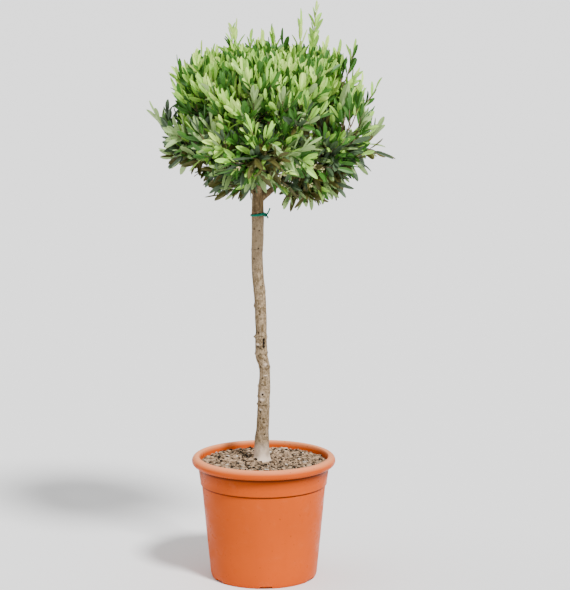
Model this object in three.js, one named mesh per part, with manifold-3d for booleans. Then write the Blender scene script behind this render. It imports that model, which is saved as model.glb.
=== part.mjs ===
// A young olive tree on a bare stem with a dense, flat-topped crown, growing in a round plastic pot.
// Millimetres, +Z up. The origin is the centre of the pot's flat underside. The front faces -Y,
// and +X is to the right as seen from the front.
import * as THREE from "three";
import { mergeVertices } from "three/addons/utils/BufferGeometryUtils.js";
import Module from "manifold-3d";

const wasm = await Module();
wasm.setup();

// Touching pieces lie this far apart.
const gap = 0.3;

const pot = {
  height: 300,
  rimRadius: 175,
  rimRoll: 12,
  openingRadius: 156,
  collarTopRadius: 156.5,
  collarLipRadius: 151,
  collarLipHeight: 3,
  collarBottom: 232,
  shoulderRadius: 148.4,
  shoulderHeight: 228,
  bellyRadius: 138,
  bellyHeight: 82,
  heelRadius: 130,
  heelHeight: 10,
  footRadius: 124,
  wall: 3,
  floor: 8,
  notches: 6,
  notchWidth: 30,
  notchHeight: 4,
  notchInnerRadius: 92,
  frontNotchX: 6,
  segments: 40,
};

const soilTop = 285;
const soilEdgeDrop = 3;

// The trunk's centre line and thickness from the soil up: it is nearly upright, steps to the left at
// an old cut two fifths of the way up, and leans left below the fork.
const trunkStations = [
  { height: soilTop + gap, x: -5, y: 0, radius: 20.5 },
  { height: 300, x: -5, y: 0, radius: 18 },
  { height: 338, x: -4.3, y: 1, radius: 17.2 },
  { height: 366, x: -2.6, y: 1, radius: 14.6 },
  { height: 450, x: 1, y: 2, radius: 14 },
  { height: 518, x: 2.4, y: 2, radius: 12.7 },
  { height: 549, x: -4.6, y: 1, radius: 14.4 },
  { height: 610, x: -5.8, y: 0, radius: 13.3 },
  { height: 690, x: -8.2, y: -2, radius: 13.7 },
  { height: 765, x: -14.6, y: -3, radius: 13.3 },
  { height: 885, x: -13, y: 0, radius: 14.2 },
  { height: 945, x: -13, y: 0, radius: 13 },
];
const trunkSides = 12;
const trunkSteps = 25;

const tie = { height: 890, strand: 1.9, turns: 2, segments: 18 };

// The leader carries the top of the crown and the high boughs, and the low boughs leave the trunk at
// the fork. A bearing is in degrees from +X towards +Y, about the crown's own upright axis.
const leader = { baseRadius: 10.5, tipRadius: 4.2, bow: [16, 0, 990], tip: [14, 4, 1104] };
const highBoughs = {
  count: 3,
  firstBearing: 40,
  turn: 120,
  startFirst: 0.16,
  startStep: 0.13,
  tipOut: 40,
  tipHeight: 1098,
  baseRadius: 5.8,
  tipRadius: 3.6,
  bow: 0.1,
};
const lowBoughs = {
  count: 4,
  firstBearing: -8,
  turn: 90,
  startFirst: 0.962,
  startStep: 0.008,
  tipOut: 64,
  tipHeight: 988,
  baseRadius: 7.2,
  tipRadius: 3.8,
  bow: 0.07,
};
const boughSides = 8;
const boughSteps = 5;

// The crown is a flattened dome, boxier than an ellipsoid, whose widest level is its centre's.
const crown = {
  centre: new THREE.Vector3(7, 0, 1098),
  radius: 240,
  rise: 182,
  fall: 166,
  boxiness: 2.8,
};

// Each foliage mass keeps to the space that is nearer its own heart than any other's.
const topHeart = { out: 6, height: 1176 };
const highHearts = { out: 84, height: 1138 };
const lowHearts = { out: 104, height: 1044 };
const spaceMargin = 0.5;
const finestEdge = 0.05;
const limbMargin = 1.2;

const shoots = {
  layers: [
    { count: 74, reachLeast: 0.94, reachMost: 1.06 },
    { count: 8, reachLeast: 0.62, reachMost: 0.74 },
  ],
  lowestDirection: -0.82,
  baseRadius: 2.5,
  tipRadius: 1.7,
  bend: 0.16,
  leafReach: 74,
  shortest: 42,
  sides: 3,
  steps: 2,
};

// Shoots that stand out of the dome: bearing, distance out from the crown's axis, and height.
const longShoots = [
  { bearing: 14, out: 127, height: 1398 },
  { bearing: -25, out: 108, height: 1376 },
  { bearing: 60, out: 40, height: 1354 },
  { bearing: 200, out: 98, height: 1354 },
  { bearing: 170, out: 176, height: 1300 },
  { bearing: 184, out: 224, height: 1262 },
  { bearing: 178, out: 281, height: 1138 },
  { bearing: 186, out: 238, height: 1022 },
  { bearing: 197, out: 214, height: 974 },
  { bearing: -8, out: 236, height: 1304 },
  { bearing: 5, out: 290, height: 1190 },
  { bearing: -12, out: 268, height: 1140 },
  { bearing: 3, out: 289, height: 1096 },
  { bearing: -4, out: 297, height: 1040 },
  { bearing: -16, out: 245, height: 970 },
  { bearing: -35, out: 150, height: 916 },
  { bearing: 230, out: 156, height: 926 },
  { bearing: 95, out: 262, height: 1120 },
  { bearing: 265, out: 258, height: 1080 },
  { bearing: 105, out: 176, height: 1290 },
  { bearing: 262, out: 170, height: 1296 },
  { bearing: 70, out: 236, height: 1004 },
  { bearing: 305, out: 214, height: 1212 },
];

const leaf = {
  length: 88,
  lengthSpread: 0.14,
  width: 25,
  widest: 0.46,
  thickness: 2.2,
  sink: 1,
  step: 8,
  pairs: 2,
  leans: [44, 64],
  leanSpread: 10,
  tipGap: 8,
  bareShare: 0.12,
  freeFrom: 9,
  tries: 8,
  shrink: 0.93,
};

const goldenAngle = Math.PI * (3 - Math.sqrt(5));
const up = new THREE.Vector3(0, 0, 1);

const colours = {
  pot: { color: 0xd47344, roughness: 0.62, metalness: 0 },
  soil: { color: 0xa48770, roughness: 0.95, metalness: 0 },
  bark: { color: 0xb1a189, roughness: 0.9, metalness: 0 },
  tie: { color: 0x12866e, roughness: 0.6, metalness: 0 },
  foliage: { color: 0x7f9a5c, roughness: 0.7, metalness: 0 },
};

const group = new THREE.Group();

// Solids and meshes

function solidFrom(geometry) {
  const bare = geometry.clone();
  bare.deleteAttribute("normal");
  bare.deleteAttribute("uv");
  const merged = mergeVertices(bare, 1e-4);
  return new wasm.Manifold(
    new wasm.Mesh({
      numProp: 3,
      vertProperties: new Float32Array(merged.attributes.position.array),
      triVerts: new Uint32Array(merged.index.array),
    }),
  );
}

function geometryFrom(solid) {
  const mesh = solid.getMesh();
  const geometry = new THREE.BufferGeometry();
  geometry.setAttribute("position", new THREE.BufferAttribute(mesh.vertProperties, 3));
  geometry.setIndex(new THREE.BufferAttribute(mesh.triVerts, 1));
  geometry.computeVertexNormals();
  return geometry;
}

// The largest body of a solid, without loose scraps and with any sealed hollow filled.
function mainBody(solid) {
  const bodies = solid.decompose();
  return bodies.reduce((best, body) => (body.volume() > best.volume() ? body : best));
}

function addPiece(name, geometry, finish) {
  const mesh = new THREE.Mesh(geometry, new THREE.MeshStandardMaterial(finish));
  mesh.name = name;
  group.add(mesh);
}

function seededRandom(seed) {
  let state = (seed * 7919 + 17) % 4294967296;
  const next = () => {
    state = (state * 1664525 + 1013904223) % 4294967296;
    return state / 4294967296;
  };
  next();
  next();
  return next;
}

function aroundCrown(bearing, out, height) {
  const angle = THREE.MathUtils.degToRad(bearing);
  return new THREE.Vector3(
    crown.centre.x + out * Math.cos(angle),
    crown.centre.y + out * Math.sin(angle),
    height,
  );
}

// Limbs

// A tapering limb along a curve: the rings of a cylinder, or of a cone where it ends in a point,
// are carried onto the curve. Grown is how much it is thickened and lengthened all round.
function limbGeometry(limb, grown = 0) {
  const { curve, radiusAt, sides, steps, pointed } = limb;
  const geometry = new THREE.CylinderGeometry(pointed ? 0 : 1, 1, 1, sides, steps);
  const points = curve.getSpacedPoints(steps);
  const { tangents, normals, binormals } = curve.computeFrenetFrames(steps, false);
  const place = geometry.attributes.position;
  for (let i = 0; i < place.count; i++) {
    const ring = Math.round((place.getY(i) + 0.5) * steps);
    const along = ring / steps;
    const around = new THREE.Vector2(place.getX(i), place.getZ(i));
    if (around.length() > 1e-6) around.setLength(radiusAt(along) + grown);
    const end = ring === 0 ? -grown : ring === steps ? grown : 0;
    const vertex = points[ring]
      .clone()
      .addScaledVector(normals[ring], around.x)
      .addScaledVector(binormals[ring], -around.y)
      .addScaledVector(tangents[ring], end);
    place.setXYZ(i, vertex.x, vertex.y, vertex.z);
  }
  return geometry;
}

const taper = (base, tip) => (along) => base + (tip - base) * along;

function trunkLimb() {
  const points = trunkStations.map(({ x, y, height }) => new THREE.Vector3(x, y, height));
  const curve = new THREE.CatmullRomCurve3(points, false, "centripetal");
  const foot = trunkStations[0].height;
  const length = trunkStations.at(-1).height - foot;
  const radiusAt = (along) => {
    const height = foot + along * length;
    const upper = Math.max(1, trunkStations.findIndex((station) => station.height >= height - 1e-6));
    const [below, above] = [trunkStations[upper - 1], trunkStations[upper]];
    const share = (height - below.height) / (above.height - below.height);
    return THREE.MathUtils.lerp(below.radius, above.radius, THREE.MathUtils.smoothstep(share, 0, 1));
  };
  return { name: "trunk", curve, radiusAt, sides: trunkSides, steps: trunkSteps };
}

function boughLimb(name, start, bow, tip, baseRadius, tipRadius) {
  return {
    name,
    curve: new THREE.QuadraticBezierCurve3(start, bow, tip),
    radiusAt: taper(baseRadius, tipRadius),
    sides: boughSides,
    steps: boughSteps,
  };
}

// A bough that leaves the axis of its parent and bows upwards on its way to its tip.
function sideBough(name, parent, at, tip, baseRadius, tipRadius, bow) {
  const start = parent.curve.getPointAt(at);
  const middle = start.clone().lerp(tip, 0.5);
  middle.addScaledVector(up, bow * start.distanceTo(tip));
  return boughLimb(name, start, middle, tip, baseRadius, tipRadius);
}

function leaderLimb(trunk) {
  const start = trunk.curve.getPointAt(1).addScaledVector(up, gap);
  const bow = new THREE.Vector3(...leader.bow);
  const tip = new THREE.Vector3(...leader.tip);
  return boughLimb("leader", start, bow, tip, leader.baseRadius, leader.tipRadius);
}

// A tier of boughs that leave one parent, each a little further along it than the last.
function tierLimbs(tier, parent, boughs) {
  return Array.from({ length: boughs.count }, (_, i) => {
    const tip = aroundCrown(boughs.firstBearing + i * boughs.turn, boughs.tipOut, boughs.tipHeight);
    const at = boughs.startFirst + i * boughs.startStep;
    const name = `bough_${tier}_${i + 1}`;
    return sideBough(name, parent, at, tip, boughs.baseRadius, boughs.tipRadius, boughs.bow);
  });
}

// Each limb is cut back where it would run into one that comes before it.
function buildLimbs(limbs) {
  const taken = [];
  for (const limb of limbs) {
    let solid = solidFrom(limbGeometry(limb));
    for (const earlier of taken) solid = solid.subtract(earlier);
    addPiece(limb.name, geometryFrom(mainBody(solid)), colours.bark);
    taken.push(solidFrom(limbGeometry(limb, gap)));
  }
}

// Pot and soil

const potInside = [
  [pot.openingRadius, pot.height - 5],
  [pot.collarTopRadius - pot.wall, pot.height - 2 * pot.rimRoll],
  [pot.collarLipRadius - pot.wall, pot.collarBottom + pot.collarLipHeight],
  [pot.shoulderRadius - pot.wall, pot.shoulderHeight],
  [pot.bellyRadius - pot.wall, pot.bellyHeight],
  [pot.heelRadius - pot.wall, pot.heelHeight + pot.floor],
  [pot.footRadius - pot.wall, pot.floor],
];

// The rolled rim: a half round outside, and a small round over into the opening.
function rimOutline() {
  const arc = new THREE.Shape();
  const middle = pot.height - pot.rimRoll;
  const rollCentre = pot.rimRadius - pot.rimRoll;
  arc.absarc(rollCentre, middle, pot.rimRoll, -Math.PI / 2, Math.PI / 2, false);
  arc.lineTo(pot.openingRadius + 2, pot.height - 1.2);
  return arc.getPoints(4);
}

function potGeometry() {
  const rimBottom = pot.height - 2 * pot.rimRoll;
  const outline = [
    new THREE.Vector2(0, 0),
    new THREE.Vector2(pot.footRadius, 0),
    new THREE.Vector2(pot.heelRadius - 2, 3),
    new THREE.Vector2(pot.heelRadius, pot.heelHeight),
    new THREE.Vector2(pot.bellyRadius, pot.bellyHeight),
    new THREE.Vector2(pot.shoulderRadius, pot.shoulderHeight),
    new THREE.Vector2(pot.shoulderRadius, pot.collarBottom),
    new THREE.Vector2(pot.collarLipRadius, pot.collarBottom),
    new THREE.Vector2(pot.collarLipRadius, pot.collarBottom + pot.collarLipHeight),
    new THREE.Vector2(pot.collarTopRadius, rimBottom),
    ...rimOutline(),
    ...potInside.map(([radius, height]) => new THREE.Vector2(radius, height)),
    new THREE.Vector2(0, pot.floor),
  ];
  return new THREE.LatheGeometry(outline, pot.segments);
}

// Shallow water channels run in from the pot's foot, so its underside stays flat in the middle.
function notchGeometry(index) {
  const length = pot.heelRadius - pot.notchInnerRadius + pot.wall;
  const notch = new THREE.BoxGeometry(length, pot.notchWidth, 2 * pot.notchHeight);
  notch.translate(pot.notchInnerRadius + length / 2, 0, 0);
  const front = -Math.PI / 2 + Math.asin(pot.frontNotchX / pot.footRadius);
  notch.rotateZ(front + (index * 2 * Math.PI) / pot.notches);
  return notch;
}

// A lathe turns about Y, so it is stood up on Z.
function standUp(geometry) {
  return geometry.rotateX(Math.PI / 2);
}

function buildPot() {
  let solid = solidFrom(standUp(potGeometry()));
  for (let i = 0; i < pot.notches; i++) solid = solid.subtract(solidFrom(notchGeometry(i)));
  addPiece("pot", geometryFrom(solid), colours.pot);
}

function buildSoil() {
  const side = potInside.filter(([, height]) => height < soilTop - soilEdgeDrop);
  const [wallTop, wallBelow] = potInside;
  const share = (soilTop - soilEdgeDrop - wallBelow[1]) / (wallTop[1] - wallBelow[1]);
  const edgeRadius = THREE.MathUtils.lerp(wallBelow[0], wallTop[0], share);
  const outline = [
    new THREE.Vector2(0, pot.floor + gap),
    ...side.reverse().map(([radius, height]) => new THREE.Vector2(radius - 2 * gap, height + gap)),
    new THREE.Vector2(edgeRadius - 2 * gap, soilTop - soilEdgeDrop),
    new THREE.Vector2(edgeRadius - 30, soilTop),
    new THREE.Vector2(0, soilTop),
  ];
  addPiece("soil", standUp(new THREE.LatheGeometry(outline, pot.segments)), colours.soil);
}

// The tie lies snug on the trunk in turns, each a round strand.
function buildTie(trunk) {
  const foot = trunkStations[0].height;
  const along = (tie.height - foot) / (trunkStations.at(-1).height - foot);
  const centre = trunk.curve.getPointAt(along);
  const inner = trunk.radiusAt(along) + gap;
  const bottom = -tie.turns * tie.strand;
  const outline = [new THREE.Vector2(inner, bottom)];
  for (let turn = 0; turn < tie.turns; turn++) {
    const middle = bottom + (2 * turn + 1) * tie.strand;
    for (const angle of [-60, 0, 60]) {
      const tilt = THREE.MathUtils.degToRad(angle);
      const out = inner + tie.strand * (0.6 + Math.cos(tilt));
      outline.push(new THREE.Vector2(out, middle + tie.strand * Math.sin(tilt)));
    }
  }
  outline.push(new THREE.Vector2(inner, -bottom), outline[0].clone());
  const ring = standUp(new THREE.LatheGeometry(outline, tie.segments));
  addPiece("trunk_tie", ring.translate(centre.x, centre.y, tie.height), colours.tie);
}

// Foliage

function heartsOf(tier, ring, boughs) {
  return boughs.map((bough, i) => ({
    name: `foliage_${tier}_${i + 1}`,
    bough,
    heart: aroundCrown(ring.first + i * ring.turn, ring.out, ring.height),
  }));
}

// A point is in a mass's space if it is nearer its heart than any other, by a margin.
function insideSpace(point, mass, masses) {
  return masses.every((other) => {
    if (other === mass) return true;
    const between = other.heart.clone().sub(mass.heart);
    const middle = other.heart.clone().add(mass.heart).multiplyScalar(0.5);
    return middle.sub(point).dot(between) / between.length() > spaceMargin;
  });
}

function geometryInside(geometry, mass, masses) {
  const place = geometry.attributes.position;
  const vertex = new THREE.Vector3();
  for (let i = 0; i < place.count; i++) {
    if (!insideSpace(vertex.fromBufferAttribute(place, i), mass, masses)) return false;
  }
  return true;
}

// How far the dome lies from the crown's centre in a direction.
function domeReach(direction) {
  const level = Math.hypot(direction.x, direction.y) / crown.radius;
  const upright = Math.abs(direction.z) / (direction.z > 0 ? crown.rise : crown.fall);
  return (level ** crown.boxiness + upright ** crown.boxiness) ** (-1 / crown.boxiness);
}

// The points that the last leaves of the shoots reach: layers spread evenly in the dome by the
// golden angle, nearer or further by chance, and the long shoots.
function shootTips() {
  const chance = seededRandom(1);
  const tips = [];
  for (const { count, reachLeast, reachMost } of shoots.layers) {
    for (let i = 0; i < count; i++) {
      const height = 1 - (2 * (i + 0.5)) / count;
      const level = Math.sqrt(1 - height ** 2);
      const bearing = i * goldenAngle;
      const direction = new THREE.Vector3(level * Math.cos(bearing), level * Math.sin(bearing), height);
      const reach = THREE.MathUtils.lerp(reachLeast, reachMost, chance()) * domeReach(direction);
      if (height > shoots.lowestDirection) tips.push(crown.centre.clone().addScaledVector(direction, reach));
    }
  }
  for (const { bearing, out, height } of longShoots) tips.push(aroundCrown(bearing, out, height));
  return tips;
}

// The stem goes on from its bough's tip, in line with it, to the heart of the mass.
function stemLimb(mass) {
  const tip = mass.bough.curve.getPointAt(1);
  const heading = mass.bough.curve.getTangentAt(1);
  const start = tip.addScaledVector(heading, gap);
  const bow = start.clone().addScaledVector(heading, start.distanceTo(mass.heart) / 2);
  return {
    curve: new THREE.QuadraticBezierCurve3(start, bow, mass.heart),
    radiusAt: taper(mass.bough.radiusAt(1), shoots.baseRadius * 1.2),
    sides: 6,
    steps: 4,
  };
}

// A shoot leaves the stem part of the way along it and runs in a few straight lengths towards its
// tip: shoots of the upper crown turn upwards, and those below the crown's middle arch over.
function shootLimb(stem, tip, bend) {
  const [root, end] = [stem.curve.getPointAt(0), stem.curve.getPointAt(1)];
  const axis = end.clone().sub(root);
  const share = tip.clone().sub(root).dot(axis) / axis.lengthSq();
  const start = stem.curve.getPointAt(THREE.MathUtils.clamp(0.8 * (share - 0.3), 0.15, 0.97));
  const leafless = start.distanceTo(tip) - shoots.leafReach;
  const top = start.clone().lerp(tip, Math.max(leafless, shoots.shortest) / start.distanceTo(tip));
  const length = start.distanceTo(top);
  const outward = tip.clone().sub(crown.centre).setZ(0).normalize();
  const bow = start.clone().lerp(top, 0.5);
  if (tip.z > crown.centre.z) bow.addScaledVector(outward, bend * length);
  else bow.addScaledVector(up, bend * length);
  const bends = new THREE.QuadraticBezierCurve3(start, bow, top).getSpacedPoints(shoots.steps);
  const path = new THREE.CurvePath();
  for (let i = 1; i < bends.length; i++) path.add(new THREE.LineCurve3(bends[i - 1], bends[i]));
  return {
    curve: path,
    radiusAt: taper(shoots.baseRadius, shoots.tipRadius),
    sides: shoots.sides,
    steps: shoots.steps,
    pointed: true,
    length,
    tip,
  };
}

// A leaf of six faces: its root point lies in the far side of its shoot, its underside is flat, and
// a ridge stands over its widest place, a little nearer the root than the tip.
function leafGeometry(root, heading, facing, length) {
  const side = facing.clone().cross(heading);
  const corner = (along, across, over) =>
    root
      .clone()
      .addScaledVector(heading, along)
      .addScaledVector(side, across)
      .addScaledVector(facing, over);
  const halfWidth = (leaf.width * length) / leaf.length / 2;
  const corners = [
    corner(-leaf.sink, 0, 0),
    corner(leaf.widest * length, -halfWidth, -leaf.thickness / 2),
    corner(leaf.widest * length, halfWidth, -leaf.thickness / 2),
    corner(leaf.widest * length, 0, leaf.thickness / 2),
    corner(length, 0, 0),
  ];
  const faces = [0, 2, 1, 1, 2, 4, 0, 1, 3, 0, 3, 2, 3, 1, 4, 3, 4, 2];
  return new THREE.BufferGeometry().setFromPoints(corners).setIndex(faces);
}

// One leaf ends each shoot and reaches its tip. The others stand in pairs below it, each pair
// turned a quarter from the last, and lean towards the shoot's end.
function leafPlaces(shoot, chance) {
  const places = [];
  const firstTurn = chance() * 2 * Math.PI;
  const spread = () => chance() * 2 - 1;
  for (let i = 0; i <= 2 * leaf.pairs; i++) {
    const pair = Math.ceil(i / 2);
    const along = 1 - (leaf.tipGap + i * leaf.step) / shoot.length;
    if (along < leaf.bareShare) break;
    const root = shoot.curve.getPointAt(along);
    const toTip = shoot.tip.clone().sub(root);
    places.push({
      root,
      axis: i === 0 ? toTip.clone().normalize() : shoot.curve.getTangentAt(along),
      turn: firstTurn + pair * (Math.PI / 2) + i * Math.PI,
      lean: i === 0 ? 0 : THREE.MathUtils.degToRad(leaf.leans[pair - 1] + spread() * leaf.leanSpread),
      length: i === 0 ? toTip.length() : leaf.length * (1 + spread() * leaf.lengthSpread),
    });
  }
  return places;
}

// A leaf that would leave its space, touch a limb or cross what has grown already is turned round
// its shoot and shortened, a few times over, and is then left out.
function fitLeaf({ root, axis, turn, lean, length }, mass, masses, limbGuard, grown) {
  const across = new THREE.Vector3().crossVectors(axis, up).normalize();
  for (let trial = 0; trial < leaf.tries; trial++) {
    const radial = across.clone().applyAxisAngle(axis, turn + trial * goldenAngle);
    const heading = axis.clone().multiplyScalar(Math.cos(lean)).addScaledVector(radial, Math.sin(lean));
    const facing = axis.clone().multiplyScalar(Math.sin(lean)).addScaledVector(radial, -Math.cos(lean));
    const size = length * leaf.shrink ** trial;
    const geometry = leafGeometry(root, heading, facing, size);
    if (!geometryInside(geometry, mass, masses)) continue;
    const blade = root.clone().addScaledVector(heading, leaf.freeFrom);
    const free = solidFrom(leafGeometry(blade, heading, facing, size - leaf.freeFrom));
    if (!free.intersect(grown).isEmpty()) continue;
    const solid = solidFrom(geometry);
    if (solid.intersect(limbGuard).isEmpty()) return solid;
  }
  return null;
}

// The shoot to a tip with as much bend as its space and the limbs leave room for.
function fitShoot(stem, tip, mass, masses, limbGuard) {
  for (const bend of [shoots.bend, shoots.bend / 2, 0]) {
    const shoot = shootLimb(stem, tip, bend);
    const geometry = limbGeometry(shoot);
    if (!geometryInside(geometry, mass, masses)) continue;
    const solid = solidFrom(geometry);
    if (solid.intersect(limbGuard).isEmpty()) return { ...shoot, solid };
  }
  return null;
}

function buildMass(mass, masses, tips, limbGuard, seed) {
  const chance = seededRandom(seed);
  const stem = stemLimb(mass);
  const stemGeometry = limbGeometry(stem);
  if (!geometryInside(stemGeometry, mass, masses)) throw new Error(`${mass.name}: stem leaves its space`);
  const grownShoots = tips
    .map((tip) => fitShoot(stem, tip, mass, masses, limbGuard))
    .filter((shoot) => shoot !== null);
  let solid = grownShoots.reduce((all, shoot) => all.add(shoot.solid), solidFrom(stemGeometry));
  for (const shoot of grownShoots) {
    for (const place of leafPlaces(shoot, chance)) {
      const fitted = fitLeaf(place, mass, masses, limbGuard, solid);
      if (fitted) solid = solid.add(fitted);
    }
  }
  const body = mainBody(mainBody(solid).simplify(finestEdge));
  addPiece(mass.name, geometryFrom(body), colours.foliage);
}

function buildFoliage(limbs, leaderBough, highs, lows) {
  const masses = [
    { name: "foliage_top", bough: leaderBough, heart: aroundCrown(0, topHeart.out, topHeart.height) },
    ...heartsOf("high", { first: highBoughs.firstBearing, turn: highBoughs.turn, ...highHearts }, highs),
    ...heartsOf("low", { first: lowBoughs.firstBearing, turn: lowBoughs.turn, ...lowHearts }, lows),
  ];
  const limbGuard = limbs
    .map((limb) => solidFrom(limbGeometry(limb, limbMargin)))
    .reduce((all, solid) => all.add(solid));
  const tips = shootTips();
  masses.forEach((mass, i) => {
    const own = tips.filter((tip) => insideSpace(tip, mass, masses));
    buildMass(mass, masses, own, limbGuard, 100 + i);
  });
}

buildPot();
buildSoil();
const trunk = trunkLimb();
const leaderBough = leaderLimb(trunk);
const highs = tierLimbs("high", leaderBough, highBoughs);
const lows = tierLimbs("low", trunk, lowBoughs);
const limbs = [trunk, leaderBough, ...highs, ...lows];
buildLimbs(limbs);
buildTie(trunk);
buildFoliage(limbs, leaderBough, highs, lows);

export default group;
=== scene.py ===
"""Dresses a potted olive tree: the pot, its compost, relief bark, a twine tie, twigs, leaves and buds.

Metres, +Z up. The origin is the centre of the pot's flat underside. The front faces -Y.
"""

import math
import random

import bpy
import numpy as np
from mathutils import Matrix, Vector, noise


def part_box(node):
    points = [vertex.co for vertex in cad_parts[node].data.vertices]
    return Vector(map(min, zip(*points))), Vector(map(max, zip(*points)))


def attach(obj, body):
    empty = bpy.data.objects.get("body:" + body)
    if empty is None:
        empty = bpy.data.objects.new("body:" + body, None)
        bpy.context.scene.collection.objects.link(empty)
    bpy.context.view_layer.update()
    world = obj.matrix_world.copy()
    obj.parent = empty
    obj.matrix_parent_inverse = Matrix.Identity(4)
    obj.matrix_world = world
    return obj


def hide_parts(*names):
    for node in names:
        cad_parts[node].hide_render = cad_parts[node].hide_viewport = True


bl_info = {
    "name": "Potted Olive Tree",
    "version": (1, 0, 0),
    "blender": (4, 5, 0),
    "location": "3D View > Sidebar > Olive",
    "description": "Models the pot, compost, bark, twine, twigs, leaves and buds of a small olive tree",
    "category": "Add Mesh",
}

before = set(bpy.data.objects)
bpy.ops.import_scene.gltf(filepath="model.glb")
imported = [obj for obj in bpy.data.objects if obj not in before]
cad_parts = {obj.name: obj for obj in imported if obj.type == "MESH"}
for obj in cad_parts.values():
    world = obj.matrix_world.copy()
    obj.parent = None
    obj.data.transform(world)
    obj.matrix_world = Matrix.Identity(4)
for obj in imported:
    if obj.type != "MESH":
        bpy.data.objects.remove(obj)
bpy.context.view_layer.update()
POT_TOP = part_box("pot")[1]
SOIL_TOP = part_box("soil")[1]

GOLDEN_ANGLE = math.pi * (3 - math.sqrt(5))
UP = Vector((0, 0, 1))

# The trunk's centre line and thickness from the soil up, as height, x, y and radius.
TRUNK_STATIONS = (
    (0.2853, -0.0050, 0.0000, 0.0205),
    (0.3000, -0.0050, 0.0000, 0.0180),
    (0.3380, -0.0043, 0.0010, 0.0172),
    (0.3660, -0.0026, 0.0010, 0.0146),
    (0.4500, 0.0010, 0.0020, 0.0140),
    (0.5180, 0.0024, 0.0020, 0.0127),
    (0.5490, -0.0046, 0.0010, 0.0144),
    (0.6100, -0.0058, 0.0000, 0.0133),
    (0.6900, -0.0082, -0.0020, 0.0137),
    (0.7650, -0.0146, -0.0030, 0.0133),
    (0.8850, -0.0130, 0.0000, 0.0142),
    (0.9450, -0.0130, 0.0000, 0.0130),
)
TRUNK_STEPS = 130

# The leader goes on from the trunk's top. A bearing is in degrees from +X towards +Y.
LEADER = {"base": 0.0105, "tip": 0.0042, "bow": (0.016, 0, 0.990), "end": (0.014, 0.004, 1.104)}
HIGH_BOUGHS = {
    "count": 3,
    "first_bearing": 40,
    "turn": 120,
    "start_first": 0.16,
    "start_step": 0.13,
    "tip_out": 0.040,
    "tip_height": 1.098,
    "base": 0.0058,
    "tip": 0.0036,
    "bow": 0.10,
}
LOW_BOUGHS = {
    "count": 4,
    "first_bearing": -8,
    "turn": 90,
    "start_first": 0.962,
    "start_step": 0.008,
    "tip_out": 0.064,
    "tip_height": 0.988,
    "base": 0.0072,
    "tip": 0.0038,
    "bow": 0.07,
}
BOUGH_STEPS = 24

# The crown is a flattened dome, boxier than an ellipsoid, round these hearts of its masses.
CROWN_CENTRE = Vector((0.007, 0, 1.098))
CROWN_RADIUS = 0.240
CROWN_RISE = 0.182
CROWN_FALL = 0.166
CROWN_BOXINESS = 2.8
TOP_HEART = {"out": 0.006, "height": 1.176}
HIGH_HEARTS = {"out": 0.084, "height": 1.138}
LOW_HEARTS = {"out": 0.104, "height": 1.044}

# Layers of shoots, each as a count for all directions round the crown's centre and the least and most
# share of the dome's reach. None grows lower than its lowest direction, which is the height that it
# gains in a unit of length. The last two layers are finer than the solid ones: shoots between them, and
# sprigs that only the upper crown has.
SHOOT_LAYERS = ((74, 0.94, 1.06), (8, 0.62, 0.74))
BETWEEN_SHOOTS = (46, 0.78, 0.98)
SPRIGS = (72, 1.00, 1.20)
LOWEST_DIRECTION = -0.82
LOWEST_SPRIG = 0.40
# Shoots that stand out of the dome: bearing, distance out from the crown's axis, and height.
LONG_SHOOTS = (
    (13, 0.141, 1.407),
    (-25, 0.108, 1.376),
    (60, 0.040, 1.354),
    (200, 0.098, 1.354),
    (170, 0.176, 1.300),
    (184, 0.224, 1.262),
    (178, 0.295, 1.142),
    (186, 0.238, 1.022),
    (197, 0.214, 0.974),
    (-8, 0.236, 1.304),
    (5, 0.303, 1.196),
    (-12, 0.268, 1.140),
    (3, 0.302, 1.102),
    (-4, 0.309, 1.040),
    (-16, 0.245, 0.970),
    (-35, 0.150, 0.916),
    (-40, 0.078, 0.924),
    (-15, 0.190, 0.938),
    (12, 0.262, 1.010),
    (180, 0.050, 1.338),
    (150, 0.024, 1.342),
    (20, 0.055, 1.336),
    (10, 0.142, 1.326),
    (-5, 0.174, 1.310),
    (192, 0.140, 1.306),
    (100, 0.090, 1.322),
    (275, 0.080, 1.318),
    (230, 0.156, 0.926),
    (95, 0.262, 1.120),
    (265, 0.258, 1.080),
    (105, 0.176, 1.290),
    (262, 0.170, 1.296),
    (70, 0.236, 1.004),
    (305, 0.214, 1.212),
    (-50, 0.112, 0.930),
    (18, 0.120, 0.926),
    (-8, 0.136, 0.916),
    (32, 0.176, 0.934),
    (-24, 0.214, 0.950),
    (-70, 0.070, 0.934),
    (-20, 0.262, 1.232),
    (-3, 0.196, 1.310),
    (197, 0.104, 1.372),
)
# Shoots that close the crown's top where the others leave it thin.
TOP_SHOOTS = (
    (233, 0.125, 1.268),
    (286, 0.109, 1.270),
    (306, 0.124, 1.268),
    (318, 0.142, 1.265),
    (255, 0.104, 1.270),
    (216, 0.168, 1.252),
    (225, 0.090, 1.272),
    (296, 0.085, 1.274),
    (335, 0.120, 1.268),
    (205, 0.168, 1.252),
    (237, 0.142, 1.262),
    (226, 0.116, 1.270),
    (219, 0.140, 1.262),
    (215, 0.120, 1.272),
    (230, 0.156, 1.250),
)

# Radii of the crown's wood: a stem's tip, the base of shoots over and under THICK_FROM in length, a
# shoot's tip, and a twig's base and tip.
STEM_TIP = 0.0026
THICK_SHOOT, THIN_SHOOT, SHOOT_TIP = 0.0024, 0.0020, 0.0010
THICK_FROM = 0.12
TWIG_RADII = (0.0014, 0.0008)
# Side twigs: how far apart they leave a shoot, where on it, their length near its base and near its tip,
# and how many degrees they lean from it.
TWIG_SPACING = 0.021
TWIG_STRETCH = (0.22, 0.90)
TWIG_LENGTHS = (0.088, 0.046)
TWIG_LEANS = (32, 52)
# The bare share of a shoot and of a twig, and the part of a shoot's way that its last leaf spans.
SHOOT_BARE, TWIG_BARE = 0.42, 0.12
LAST_LEAF = 0.042
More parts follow.
